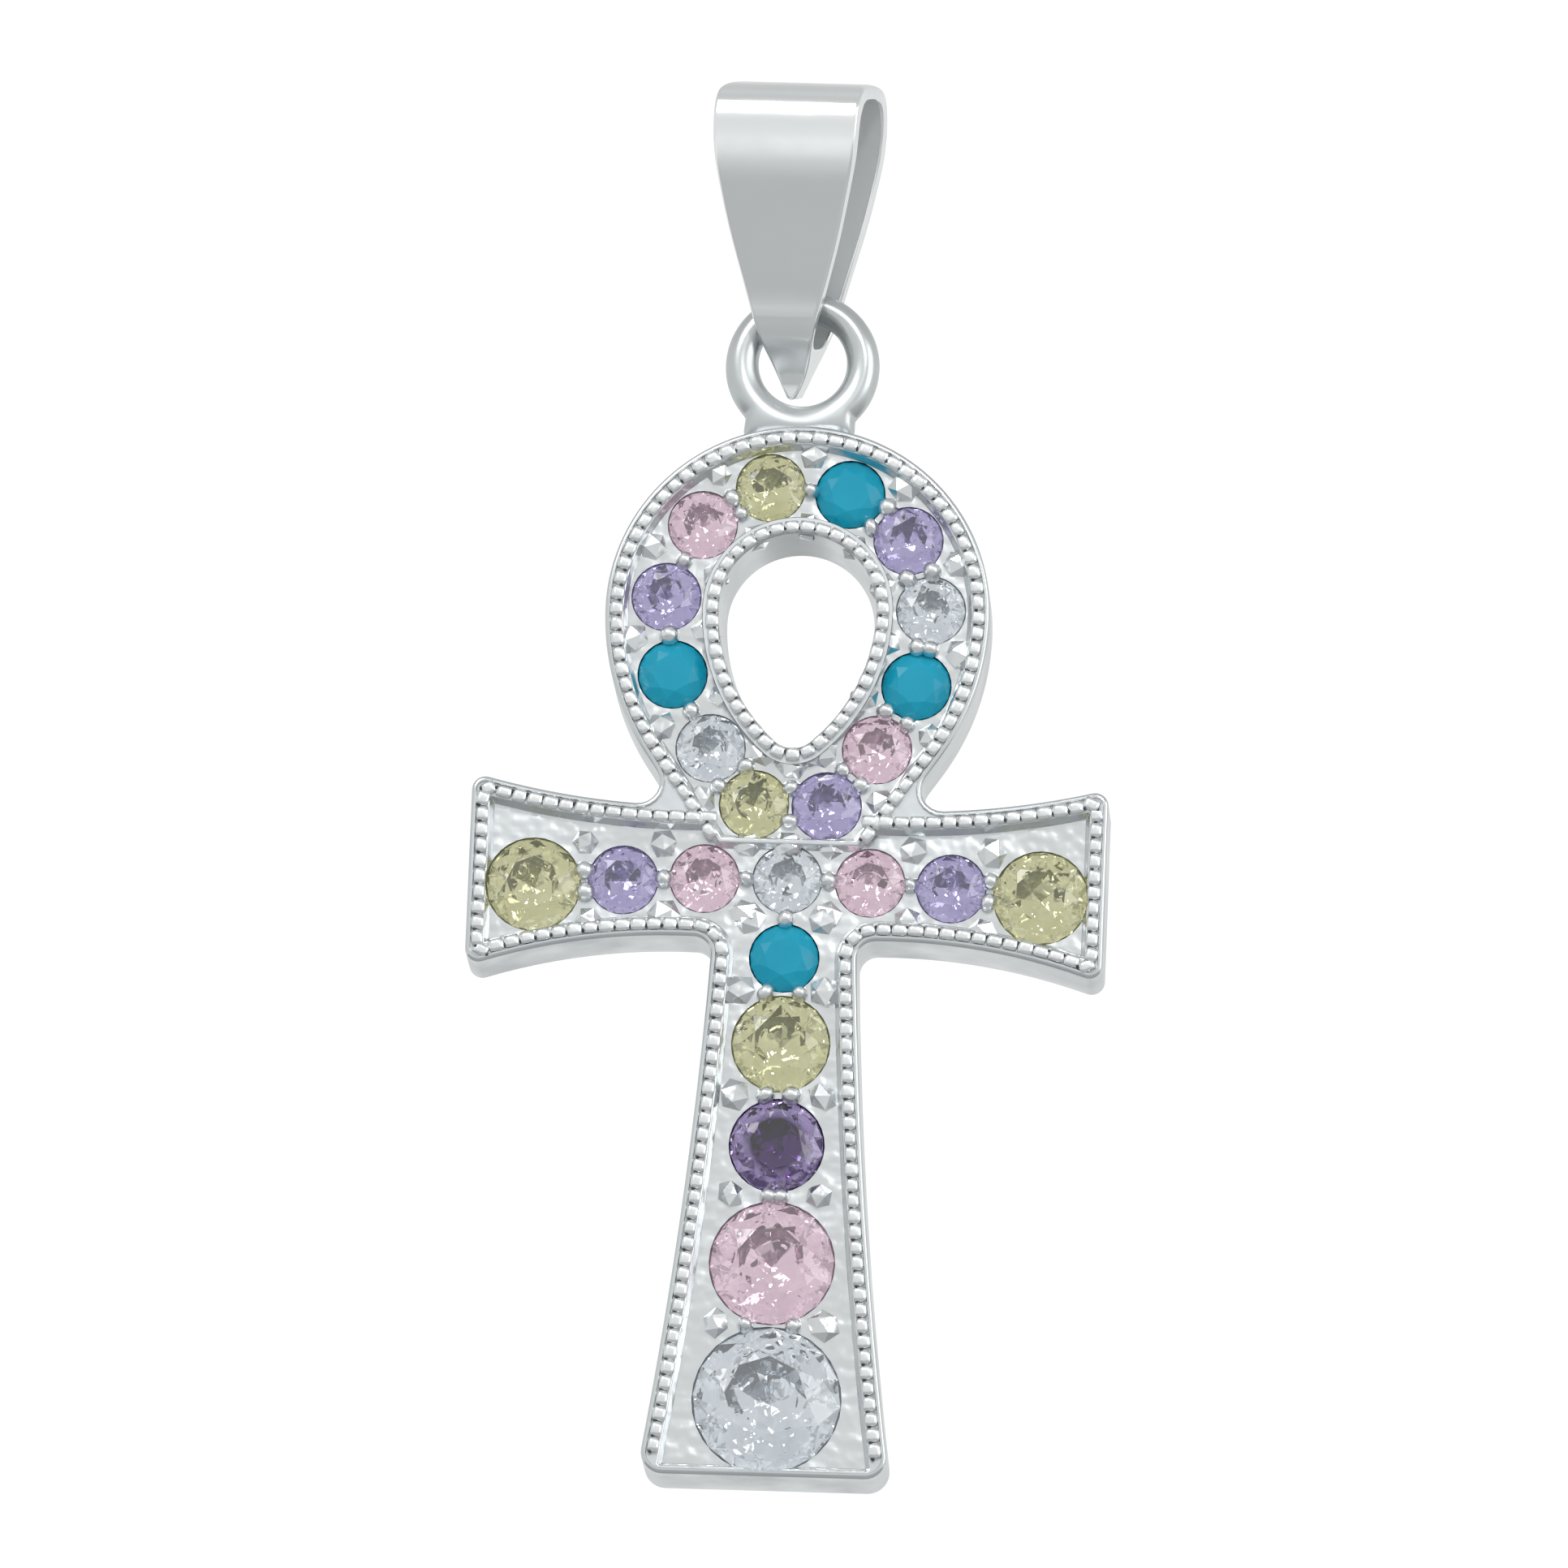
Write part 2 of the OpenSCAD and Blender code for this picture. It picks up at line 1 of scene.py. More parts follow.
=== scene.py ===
"""Dresses the ankh pendant: polished silver with milled rims, round cut stones, a soldered ring and a folded bail.

Plans are drawn in millimetres as (x, z) from the ankh's crossing, as in the part's source, and placed in metres.
"""

import logging
import math
from collections.abc import Callable
from dataclasses import dataclass
from enum import Enum

import bmesh
import bpy
from bpy.types import Material, Mesh, Node, NodeSocket, NodeTree, Object
from mathutils import Matrix, Vector
from mathutils.geometry import delaunay_2d_cdt


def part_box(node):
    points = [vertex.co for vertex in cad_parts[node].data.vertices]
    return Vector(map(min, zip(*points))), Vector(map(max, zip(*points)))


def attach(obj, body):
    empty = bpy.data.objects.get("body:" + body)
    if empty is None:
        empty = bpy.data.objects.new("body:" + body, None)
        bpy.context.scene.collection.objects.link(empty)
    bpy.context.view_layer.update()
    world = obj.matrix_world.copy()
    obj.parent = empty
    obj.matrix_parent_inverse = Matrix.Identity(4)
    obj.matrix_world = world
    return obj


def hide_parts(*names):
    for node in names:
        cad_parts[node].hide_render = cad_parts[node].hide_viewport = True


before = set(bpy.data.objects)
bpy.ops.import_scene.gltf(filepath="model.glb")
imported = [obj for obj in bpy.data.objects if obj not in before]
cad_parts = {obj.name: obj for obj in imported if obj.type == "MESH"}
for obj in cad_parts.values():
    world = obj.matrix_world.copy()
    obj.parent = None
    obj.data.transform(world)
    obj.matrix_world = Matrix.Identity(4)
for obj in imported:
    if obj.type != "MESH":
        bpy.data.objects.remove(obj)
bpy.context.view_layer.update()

LOG = logging.getLogger("pendant")
MM = 0.001
SAME = 1e-6  # nearer points of one plan are one point, in millimetres
WELD = 1e-5  # nearer corners of one mesh are welded, in millimetres
CREASE = 32  # edges sharper than this stay sharp, in degrees
STONE_DEPTH = 0.54  # depth of a stone from table to culet, as a share of its diameter

Point = tuple[float, float]
Point3 = tuple[float, float, float]
Plan = list[Point]
Row = tuple[Plan, bool]  # points, and whether the last one joins the first


# Plane geometry in degrees


def polar(c: Point, r: float, a: float) -> Point:
    """The point at the distance r and the bearing a from c."""
    return (c[0] + r * math.cos(math.radians(a)), c[1] + r * math.sin(math.radians(a)))


def arc(c: Point, r: float, a0: float, a1: float, n: int) -> Plan:
    """The n + 1 points of an arc round c."""
    return [polar(c, r, a0 + (a1 - a0) * i / n) for i in range(n + 1)]


def line(a: Point, b: Point, n: int) -> Plan:
    """The n + 1 points of a straight line from a to b."""
    return [(a[0] + (b[0] - a[0]) * i / n, a[1] + (b[1] - a[1]) * i / n) for i in range(n + 1)]


def bearing(a: Point, b: Point) -> float:
    """The bearing of b from a."""
    return math.degrees(math.atan2(b[1] - a[1], b[0] - a[0]))


def positive(a: float) -> float:
    """The bearing a, counted from 0 to 360 degrees."""
    return a + 360 if a < 0 else a


def closed(half: Plan) -> Plan:
    """The whole outline from its right half, without repeated points."""
    whole = half + [(-x, z) for x, z in reversed(half)]
    return [p for i, p in enumerate(whole) if math.dist(p, whole[i - 1]) > SAME]


def meet(c1: Point, r1: float, c2: Point, r2: float, side: int) -> Point:
    """Where two circles meet.

    Args:
        c1: Centre of the first circle.
        r1: Its radius.
        c2: Centre of the second circle.
        r2: Its radius.
        side: 1 for the meeting point on the left of the way from c1 to c2, -1 for the one on the right.

    Returns:
        The meeting point, or the nearest point between circles that don't meet.
    """
    dx, dz = c2[0] - c1[0], c2[1] - c1[1]
    length = math.hypot(dx, dz)
    a = (r1 * r1 - r2 * r2 + length * length) / (2 * length)
    h = side * math.sqrt(max(r1 * r1 - a * a, 0)) / length
    return (c1[0] + a / length * dx - h * dz, c1[1] + a / length * dz + h * dx)


def ease(t: float) -> float:
    """A smooth step from 0 to 1."""
    u = min(max(t, 0.0), 1.0)
    return u * u * (3 - 2 * u)


def rounded(radius: float) -> list[Point]:
    """Steps of a rounded edge from the side to the face: (distance in from the side, depth below the face)."""
    angles = [math.radians(90 * i / 4) for i in range(5)]
    return [(radius * (1 - math.cos(a)), radius * (1 - math.sin(a))) for a in angles]


# Node trees and meshes


def add_node(tree: NodeTree, kind: str, links: dict | None = None, inputs: dict | None = None, **settings) -> Node:
    """Adds a node with its settings and links.

    Args:
        tree: The tree that the node goes into.
        kind: The node's type name.
        links: Output sockets, or nodes for their first one, by the name or number of the input that they feed.
        inputs: Values by the name or number of the input.
        **settings: Properties of the node.

    Returns:
        The new node.
    """
    node = tree.nodes.new(kind)
    for name, value in settings.items():
        setattr(node, name, value)
    for name, value in (inputs or {}).items():
        node.inputs[name].default_value = value
    for name, source in (links or {}).items():
        tree.links.new(source.outputs[0] if isinstance(source, Node) else source, node.inputs[name])
    return node


def colour(code: str) -> tuple[float, float, float, float]:
    """The linear colour of an sRGB hex code."""
    parts = [int(code[i:i + 2], 16) / 255 for i in (1, 3, 5)]
    return (*[c / 12.92 if c <= 0.04045 else ((c + 0.055) / 1.055) ** 2.4 for c in parts], 1.0)


def new_material(name: str, values: dict) -> tuple[Material, Node, NodeSocket]:
    """Starts a material.

    Args:
        name: Name of the material.
        values: What is the same all over its surface, by the name of the shader's input.

    Returns:
        The material, its shader, and the Object coordinates that its patterns read.
    """
    material = bpy.data.materials.new(name)
    material.use_nodes = True
    shader = material.node_tree.nodes["Principled BSDF"]
    for key, value in values.items():
        shader.inputs[key].default_value = value
    return material, shader, add_node(material.node_tree, "ShaderNodeTexCoord").outputs["Object"] 
def clouded(tree: NodeTree, spot: NodeSocket, codes: tuple[str, str],
            noise: dict[str, float]) -> tuple[NodeSocket, NodeSocket]:
    """Clouds that run from one colour to another.

    Args:
        tree: The material's tree.
        spot: Its Object coordinates.
        codes: The two colours, as hex codes.
        noise: Inputs of the clouds by name.

    Returns:
        How dense the clouds are, and their colour.
    """
    cloud = add_node(tree, "ShaderNodeTexNoise", {"Vector": spot}, noise).outputs["Fac"]
    mix = add_node(tree, "ShaderNodeMix", {0: cloud}, {6: colour(codes[0]), 7: colour(codes[1])}, data_type="RGBA")
    return cloud, mix.outputs[2]


def new_object(name: str, mesh: Mesh, materials: list[Material]) -> Object:
    """A mesh object in the scene with its materials."""
    for material in materials:
        mesh.materials.append(material)
    obj = bpy.data.objects.new(name, mesh)
    bpy.context.scene.collection.objects.link(obj)
    return obj


def applied(obj: Object) -> Object:
    """Turns an object and its modifiers into a plain mesh.

    Args:
        obj: The object, which is replaced.

    Returns:
        A plain mesh object with the same name.
    """
    name = obj.name
    mesh = bpy.data.meshes.new_from_object(obj.evaluated_get(bpy.context.evaluated_depsgraph_get()))
    bpy.data.objects.remove(obj)
    plain = bpy.data.objects.new(name, mesh)
    bpy.context.scene.collection.objects.link(plain)
    return plain


def smooth(mesh: Mesh, angle: float) -> None:
    """Shades a mesh smooth but for edges sharper than the angle in degrees."""
    mesh.polygons.foreach_set("use_smooth", [True] * len(mesh.polygons))
    mesh.set_sharp_from_angle(angle=math.radians(angle))


def crossings(p: Vector, spots: list[Vector], edges: list[tuple[int, int]]) -> int:
    """How many of the edges a ray from the point p towards +X crosses."""
    count = 0
    for i, j in edges:
        a, b = spots[i], spots[j]
        if (a.y > p.y) != (b.y > p.y) and p.x < a.x + (p.y - a.y) * (b.x - a.x) / (b.y - a.y):
            count += 1
    return count


def chain(start: int, n: int, shut: bool) -> list[tuple[int, int]]:
    """Edges from each of n points, numbered from start, to the next, and from the last to the first if shut."""
    return [(start + i, start + (i + 1) % n) for i in range(n if shut else n - 1)]


class Shell:
    """One mesh gathered loop by loop, in millimetres."""

    def __init__(self) -> None:
        """Starts with nothing."""
        self.points: list[Point3] = []
        self.faces: list[tuple[int, ...]] = []
        self.finishes: list[int] = []

    def loop(self, points: list[Point3]) -> list[int]:
        """Adds points and returns their numbers."""
        start = len(self.points)
        self.points.extend(points)
        return list(range(start, len(self.points)))

    def level(self, plan: Plan, y: float) -> list[int]:
        """Adds a plan at the depth y and returns its points' numbers."""
        return self.loop([(x, y, z) for x, z in plan])

    def face(self, corners: tuple[int, ...], finish: int) -> None:
        """Adds a face."""
        self.faces.append(corners)
        self.finishes.append(finish)

    def strip(self, a: list[int], b: list[int], finish: int = 0) -> None:
        """Joins two closed loops with quads.

        Args:
            a: Point numbers of the first loop.
            b: As many point numbers of the second loop.
            finish: Material index of the quads.
        """
        n = len(a)
        for i in range(n):
            j = (i + 1) % n
            self.face((a[i], a[j], b[j], b[i]), finish)

    def strips(self, loops: list[list[int]], finish: int = 0) -> None:
        """Joins each loop to the next one."""
        for a, b in zip(loops, loops[1:]):
            self.strip(a, b, finish)

    def sheet(self, loops: list[list[int]], finish: int = 0, axes: tuple[int, int] = (0, 2)) -> None:
        """Fills the area between nested loops.

        Args:
            loops: Point numbers of the outer loop and of the holes in it.
            finish: Material index of the faces.
            axes: The two coordinates that the loops lie in.
        """
        flat: list[int] = [i for loop in loops for i in loop]
        spots = [Vector((self.points[i][axes[0]], self.points[i][axes[1]])) for i in flat]
        edges, start = [], 0
        for loop in loops:
            edges += chain(start, len(loop), True)
            start += len(loop)
        _, _, faces, origins, _, _ = delaunay_2d_cdt(spots, edges, [], 0, SAME)
        for face in faces:
            corners = [origins[i][0] for i in face]
            middle = sum((spots[i] for i in corners), Vector((0.0, 0.0))) / len(corners)
            if crossings(middle, spots, edges) % 2:
                self.face(tuple(flat[i] for i in corners), finish)

    def build(self, name: str, place: Matrix, materials: list[Material], angle: float = CREASE) -> Object:
        """Makes the object.

        Args:
            name: Name of the piece.
            place: Turn and offset in millimetres.
            materials: Its materials, in the order of the finishes.
            angle: Edges sharper than this stay sharp, in degrees.

        Returns:
            The piece, with its place in its mesh.
        """
        mesh = bpy.data.meshes.new(name)
        mesh.from_pydata(self.points, [], self.faces)
        mesh.polygons.foreach_set("material_index", self.finishes)
        body = bmesh.new()
        body.from_mesh(mesh)
        bmesh.ops.remove_doubles(body, verts=body.verts, dist=WELD)
        bmesh.ops.delete(body, geom=[e for e in body.edges if not e.link_faces], context="EDGES")
        bmesh.ops.recalc_face_normals(body, faces=body.faces)
        body.to_mesh(mesh)
        body.free()
        mesh.transform(Matrix.Scale(MM, 4) @ place)
        smooth(mesh, angle)
        return new_object(name, mesh, materials)


# Finishes


@dataclass(frozen=True)
class Silver:
    """Sterling silver, cast and then polished by hand or bright cut.

    Attributes:
        name: Name of the material.
        light: Its colour on clean metal, as a hex code.
        dull: Its colour where a thin haze of tarnish lies.
        rough: Roughness of clean metal.
        haze: How much rougher the hazed patches are.
        dent: Height of the hand polish's waves, in millimetres.
        wave: Width of those waves, in millimetres.
        grit: Height of the fine polishing scratches, in millimetres.
        metallic: Less than 1 where a satin skin scatters part of the light.
    """

    name: str
    light: str
    dull: str
    rough: float
    haze: float
    dent: float
    wave: float
    grit: float
    metallic: float = 1.0

    def build(self) -> Material:
        """Makes the material: soft cloudy reflections from the hand polish, under fine scratches."""
        material, shader, spot = new_material(self.name, {"Metallic": self.metallic})
        tree = material.node_tree
        # patches of haze about 2 mm wide
        cloud, tint = clouded(tree, spot, (self.light, self.dull),
                              {"Scale": 0.45 / MM, "Detail": 3.0, "Roughness": 0.55})
        tree.links.new(tint, shader.inputs["Base Color"])
        gloss = add_node(tree, "ShaderNodeMapRange", {"Value": cloud},
                         {"From Min": 0.35, "From Max": 0.7, "To Min": self.rough, "To Max": self.rough + self.haze})
        tree.links.new(gloss.outputs["Result"], shader.inputs["Roughness"])
        wave = add_node(tree, "ShaderNodeTexNoise", {"Vector": spot}, {"Scale": 1 / (self.wave * MM), "Detail": 1.0})
        hand = add_node(tree, "ShaderNodeBump", {"Height": wave}, {"Strength": 1.0, "Distance": self.dent * MM})
        # scratches left by the buff, drawn 0.15 mm apart, as finer ones don't show
        streak = add_node(tree, "ShaderNodeMapping", {"Vector": spot},
                          {"Rotation": (0.3, 0.6, 0.4), "Scale": (1.0, 1.0, 0.12)})
        grit = add_node(tree, "ShaderNodeTexNoise", {"Vector": streak}, {"Scale": 1 / (0.15 * MM), "Detail": 2.0})
        fine = add_node(tree, "ShaderNodeBump", {"Height": grit, "Normal": hand},
                        {"Strength": 1.0, "Distance": self.grit * MM})
        tree.links.new(fine.outputs["Normal"], shader.inputs["Normal"])
        return material


@dataclass(frozen=True)
class CutStone:
    """Cubic zirconia, cut and polished: clear facets that split the light.

    Attributes:
        name: Name of the material.
        tint: Its colour where the light has crossed the stone, as a hex code.
        deep: Its colour in the darker clouds.
        glow: Light that the many inner reflections send back, which the render's few bounces lose.
        heart: Colour of the painted shade, a dark middle under the table, if it has one.
        heart_r: How far from its middle the painted shade begins to show, and how far it is full, in millimetres.
        index: Index of refraction, below the real 2.15, because the few bounces would leave black crescents.
    """

    name: str
    tint: str
    deep: str
    glow: float
    heart: str | None = None
    heart_r: Point = (1.08, 0.76)
    index: float = 1.9

    def build(self, heart_place: Vector | None = None) -> Material:
        """Makes the material.

        Args:
            heart_place: Middle of the painted shade in metres, for a stone that has one.

        Returns:
            The material, with facets whose polish waves a little, so that no two stones sparkle alike.
        """
        material, shader, spot = new_material(self.name, {
            "Transmission Weight": 1.0, "Roughness": 0.0, "IOR": self.index, "Emission Color": colour(self.tint),
            "Emission Strength": self.glow})
        tree = material.node_tree
        _, tint = clouded(tree, spot, (self.tint, self.deep), {"Scale": 1.2 / MM, "Detail": 1.0})
        # a stone with a heart is painted darker towards its middle: painted shade under the table
        if self.heart and heart_place:
            away = add_node(tree, "ShaderNodeVectorMath", {0: spot}, {1: heart_place}, operation="DISTANCE")
            near = add_node(tree, "ShaderNodeMapRange", {"Value": away.outputs["Value"]},
                            {"From Min": self.heart_r[0] * MM, "From Max": self.heart_r[1] * MM})
            tint = add_node(tree, "ShaderNodeMix", {0: near, 6: tint}, {7: colour(self.heart)},
                            data_type="RGBA").outputs[2]
        tree.links.new(tint, shader.inputs["Base Color"])
        # flats about 0.6 mm wide, each turned a little
        flats = add_node(tree, "ShaderNodeTexVoronoi", {"Vector": spot}, {"Scale": 1 / (0.6 * MM)})
        wavy = add_node(tree, "ShaderNodeBump", {"Height": flats}, {"Strength": 1.0, "Distance": 0.03 * MM})
        tree.links.new(wavy.outputs["Normal"], shader.inputs["Normal"])
        return material


@dataclass(frozen=True)
class Turquoise:
    """Dyed turquoise paste, faceted and waxed: an even blue body with a soft gloss.

    Attributes:
        name: Name of the material.
        body: Its main colour, as a hex code.
        cloud: The colour of its paler clouds.
    """

    name: str
    body: str
    cloud: str

    def build(self) -> Material:
        """Makes the material."""
        material, shader, spot = new_material(self.name, {
            "Roughness": 0.22, "IOR": 1.61, "Specular IOR Level": 0.3, "Subsurface Weight": 0.15,
            "Subsurface Radius": (0.1 * MM, 0.4 * MM, 0.5 * MM), "Subsurface Scale": 1.0})
        _, tint = clouded(material.node_tree, spot, (self.body, self.cloud), {"Scale": 0.8 / MM, "Detail": 3.0})
        material.node_tree.links.new(tint, shader.inputs["Base Color"])
        return material


class Metal(Enum):
    """The silver finishes of the pendant, some of them painted lighter or darker as painted light or shade."""

    # cast and buffed by hand: broad soft reflections that wander with the buff's waves
    POLISHED = Silver("polished_silver", "#D9DCDD", "#C4C8CB", 0.18, 0.12, 0.006, 1.1, 0.0006)
    # cut with a graver: short bright flashes from one cut to the next
    BRIGHT_CUT = Silver("bright_cut_silver", "#E6E8E9", "#CFD3D5", 0.16, 0.16, 0.06, 0.55, 0.0010)
    # pressed with a milling wheel and rubbed: a small highlight on every grain, and a colour painted lighter than the
    # body's as a painted sheen
    MILLED = Silver("milled_silver", "#ECEEEF", "#DCDFE0", 0.22, 0.10, 0.004, 0.3, 0.0005)
    # the casting's own skin in the sunk channel: matt, and a shade darker as painted shade in the recess
    RECESS = Silver("matt_silver", "#D2D5D7", "#BABEC1", 0.30, 0.15, 0.006, 0.4, 0.0010)
    # painted shade between the grains: dark specks that set them apart
    PIT = Silver("painted_shade_silver", "#5C6064", "#3C4044", 0.42, 0.15, 0.004, 0.4, 0.0010)
    # rolled and buffed nearly to a mirror: clean gradients of the surroundings
    STRAP = Silver("polished_strap_silver", "#F6F7F6", "#E8EBEC", 0.14, 0.08, 0.006, 2.2, 0.0004)
    # the strap's inside, brushed alone: light without a clear reflection
    SATIN = Silver("satin_silver", "#E2E4E4", "#CFD2D4", 0.35, 0.10, 0.004, 1.2, 0.0010, 0.4)
    # drawn and polished dull: one long soft highlight round the ring, and a colour painted darker than the body's as
    # painted shade
    WIRE = Silver("drawn_wire_silver", "#D4D7D8", "#BFC3C5", 0.24, 0.12, 0.010, 0.9, 0.0008)


class Gem(Enum):
    """The stones' finishes."""

    # colourless: white sparks, and grey where a facet looks down into the seat
    CLEAR = CutStone("clear_zirconia", "#DCE1E5", "#B6BDC5", 0.04)
    # the next three are tinted in the melt: the colour deepens where the light's way through is longer
    YELLOW = CutStone("yellow_zirconia", "#D2D1A9", "#B4B384", 0.036)
    PINK = CutStone("pink_zirconia", "#E5CEDA", "#C6A8B8", 0.042)
    VIOLET = CutStone("violet_zirconia", "#BAB2D6", "#9088B6", 0.04)
    # the deepest of the tints; its nearly black middle inside a pale rim is painted shade
    DARK_VIOLET = CutStone("dark_violet_zirconia", "#B4A2D2", "#8A76AE", 0.005, "#16042C")
    # opaque: an even blue with faint paler clouds and one soft highlight
    TURQUOISE = Turquoise("turquoise_paste", "#008FAC", "#0B9FBC")


# The ankh


@dataclass
class AnkhPlan:
    """The ankh's outlines, with the sizes of the part's source in millimetres.

    The last number given to an arc or a line is how many steps it has.
    """

    # the loop, and the hole in it
    loop_r: float = 5.75
    loop_rise: float = 8.1
    flank_r: float = 7.8
    flank_lean: float = 34.5
    hole_rise: float = 8.2
    hole_r: float = 2.2
    hole_flank_r: float = 5.25
    hole_tip_r: float = 0.65
    # the arms
    arm_reach: float = 9.5
    arm_top_root: float = 2.1
    arm_top_end: float = 2.95
    arm_foot_root: float = 1.87
    arm_foot_end: float = 3.0
    arm_waist_x: float = 3.17
    arm_corner_r: float = 0.4
    waist_fillet: float = 0.65
    # the stem and its foot
    stem_drop: float = 18.2
    stem_top_half: float = 2.15
    stem_foot_half: float = 3.75
    stem_side_r: float = 150.0
    stem_fillet: float = 0.55
    foot_corner_r: float = 0.65
    # the rims, and the ridge between the two channels
    rim_w: float = 0.56
    foot_rim_w: float = 0.26
    ridge_z: float = 1.1
    ridge_w: float = 0.17
    least_corner: float = 0.03
    # where the rows of grains end: above the ridge, above the foot, and beside the waist (in, gap)
    row_end: float = 0.25
    row_foot: float = 0.5
    row_start: Point = (0.62, 0.1)

    def __post_init__(self) -> None:
        """Works out the arcs' centres and the arms' radii, on the right half where there are two."""
        self.loop_c: Point = (0.0, self.loop_rise)
        self.flank_c: Point = (self.loop_r - self.flank_r, self.loop_rise)
        self.hole_c: Point = (0.0, self.hole_rise)
        self.hole_flank_c: Point = (self.hole_r - self.hole_flank_r, self.hole_rise)
        tip = math.sqrt((self.hole_flank_r - self.hole_tip_r) ** 2 - self.hole_flank_c[0] ** 2)
        self.hole_tip_c: Point = (0.0, self.hole_rise - tip)
        # the arms' top and bottom edges
        self.top_r = self.hollow(self.arm_reach - self.arm_waist_x, self.arm_top_end - self.arm_top_root)
        self.low_r = self.hollow(self.arm_reach - self.arm_waist_x, self.arm_foot_end - self.arm_foot_root)
        self.top_c: Point = (self.arm_waist_x, self.arm_top_root + self.top_r)
        self.low_c: Point = (self.arm_waist_x, -self.arm_foot_root - self.low_r)
        # the long curve of the stem's side, and the fillet between it and the arm
        top, foot = (self.stem_top_half, -self.arm_foot_root), (self.stem_foot_half, -self.stem_drop)
        self.side_c = meet(top, self.stem_side_r, foot, self.stem_side_r, 1)
        self.stem_fillet_c = meet(self.low_c, self.low_r - self.stem_fillet, self.side_c,
                                  self.stem_side_r - self.stem_fillet, 1)
        # the fillet between the loop's straight flank and the arm
        lean = math.radians(self.flank_lean)
        q = polar(self.flank_c, self.flank_r + self.waist_fillet, -self.flank_lean)
        t = (-math.sin(lean), -math.cos(lean))
        v = (q[0] - self.top_c[0], q[1] - self.top_c[1])
        b = v[0] * t[0] + v[1] * t[1]
        c = v[0] ** 2 + v[1] ** 2 - (self.top_r - self.waist_fillet) ** 2
        k = math.sqrt(b * b - c) - b
        self.waist_c: Point = (q[0] + k * t[0], q[1] + k * t[1])

    @staticmethod
    def hollow(dx: float, dz: float) -> float:
        """Radius of an arc that rises by dz over the length dx from level."""
        return (dx * dx + dz * dz) / (2 * dz)

    def flank(self, d: float, z: float) -> Point:
        """The point at the height z of the loop's straight flank, d inside the outline."""
        top = polar(self.flank_c, self.flank_r - d, -self.flank_lean)
        return (top[0] - (top[1] - z) * math.tan(math.radians(self.flank_lean)), z)

    def loop_side(self, d: float) -> Plan:
        """The loop's round top and drawn-in flank, d inside the outline."""
        return (arc(self.loop_c, self.loop_r - d, 90, 0, 32)
                + arc(self.flank_c, self.flank_r - d, 0, -self.flank_lean, 16)[1:])

    def arm_end(self, d: float) -> tuple[Plan, Plan]:
        """The upper and the lower rounded corner of the right arm's end, d inside the outline."""
        r = max(self.arm_corner_r - d, self.least_corner)
        x = self.arm_reach - d - r
        rise = [c + s * math.sqrt((edge + d + r) ** 2 - (x - self.arm_waist_x) ** 2)
                for c, edge, s in ((self.top_c[1], self.top_r, -1), (self.low_c[1], self.low_r, 1))]
        a, b = (x, rise[0]), (x, rise[1])
        return arc(a, r, bearing(a, self.top_c), 0, 8), arc(b, r, 0, bearing(b, self.low_c), 8)

    def stem_side(self, d: float, foot: float) -> Plan:
        """The stem's right side and foot.

        Args:
            d: How far inside the outline.
            foot: How far above the foot's edge.

        Returns:
            The points from the fillet under the arm down to the foot's middle.
        """
        r = max(self.foot_corner_r - d, self.least_corner)
        z = foot + r - self.stem_drop
        c = (self.side_c[0] - math.sqrt((self.stem_side_r + d + r) ** 2 - (z - self.side_c[1]) ** 2), z)
        a0 = positive(bearing(self.side_c, self.stem_fillet_c))
        return (arc(self.side_c, self.stem_side_r + d, a0, positive(bearing(self.side_c, c)), 20)
                + arc(c, r, bearing(c, self.side_c), -90, 8)[1:])

    def arm_and_stem(self, d: float, a0: float, foot: float) -> Plan:
        """The right arm and the stem's right side.

        Args:
            d: How far inside the outline.
            a0: Bearing on the arc of the arm's top edge at which it starts.
            foot: How far above the foot's edge.

        Returns:
            The points from the arm's top edge round its end and down to the foot's middle.
        """
        top, end = self.arm_end(d)
        fillet, low = self.stem_fillet_c, bearing(self.low_c, self.stem_fillet_c)
        return (arc(self.top_c, self.top_r + d, a0, positive(bearing(self.top_c, top[0])), 12) + top[1:] + end
                + arc(self.low_c, self.low_r + d, bearing(self.low_c, end[-1]), low, 12)[1:]
                + arc(fillet, self.stem_fillet + d, low, positive(bearing(self.side_c, fillet)), 10)[1:]
                + self.stem_side(d, foot)[1:])

    def outline(self, d: float) -> Plan:
        """The ankh's whole outline, d inside its edge."""
        a = positive(bearing(self.top_c, self.waist_c))
        return closed(self.loop_side(d) + arc(self.waist_c, self.waist_fillet + d, 180 - self.flank_lean, a, 8)
                      + self.arm_and_stem(d, a, d)[1:])

    def hole(self, d: float) -> Plan:
        """The teardrop hole, d outside its edge."""
        tip = self.hole_tip_c
        a = bearing(self.hole_flank_c, tip)
        return closed(arc(self.hole_c, self.hole_r + d, 90, 0, 20)
                      + arc(self.hole_flank_c, self.hole_flank_r + d, 0, a, 16)[1:]
                      + arc(tip, self.hole_tip_r + d, a, -90, 8)[1:])

    def loop_channel(self, d: float) -> Plan:
        """The loop's channel, d inside the outline and the ridge's middle line."""
        z = self.ridge_z + self.ridge_w / 2 + d - self.rim_w
        corner = self.flank(d, z)
        return closed(self.loop_side(d) + line(corner, (0.0, z), 10))

    def arm_channel(self, d: float) -> Plan:
        """The arms' and the stem's channel, d inside the outline, under the ridge."""
        z = self.ridge_z - self.ridge_w / 2 - d + self.rim_w
        top = self.arm_top_root - d
        lean = 2 * self.rim_w - self.ridge_w - d
        corner, notch = self.flank(lean, z), self.flank(lean, top)
        return closed(line((0.0, z), corner, 10) + [notch]
                      + self.arm_and_stem(d, 270, d - self.rim_w + self.foot_rim_w))

    def loop_row(self, d: float) -> Plan:
        """The row of grains round the loop, d inside its outline, from the ridge over the top to the ridge."""
        right = self.loop_side(d) + [self.flank(d, self.ridge_z + self.row_end)]
        return [(-x, z) for x, z in reversed(right)] + right[1:]

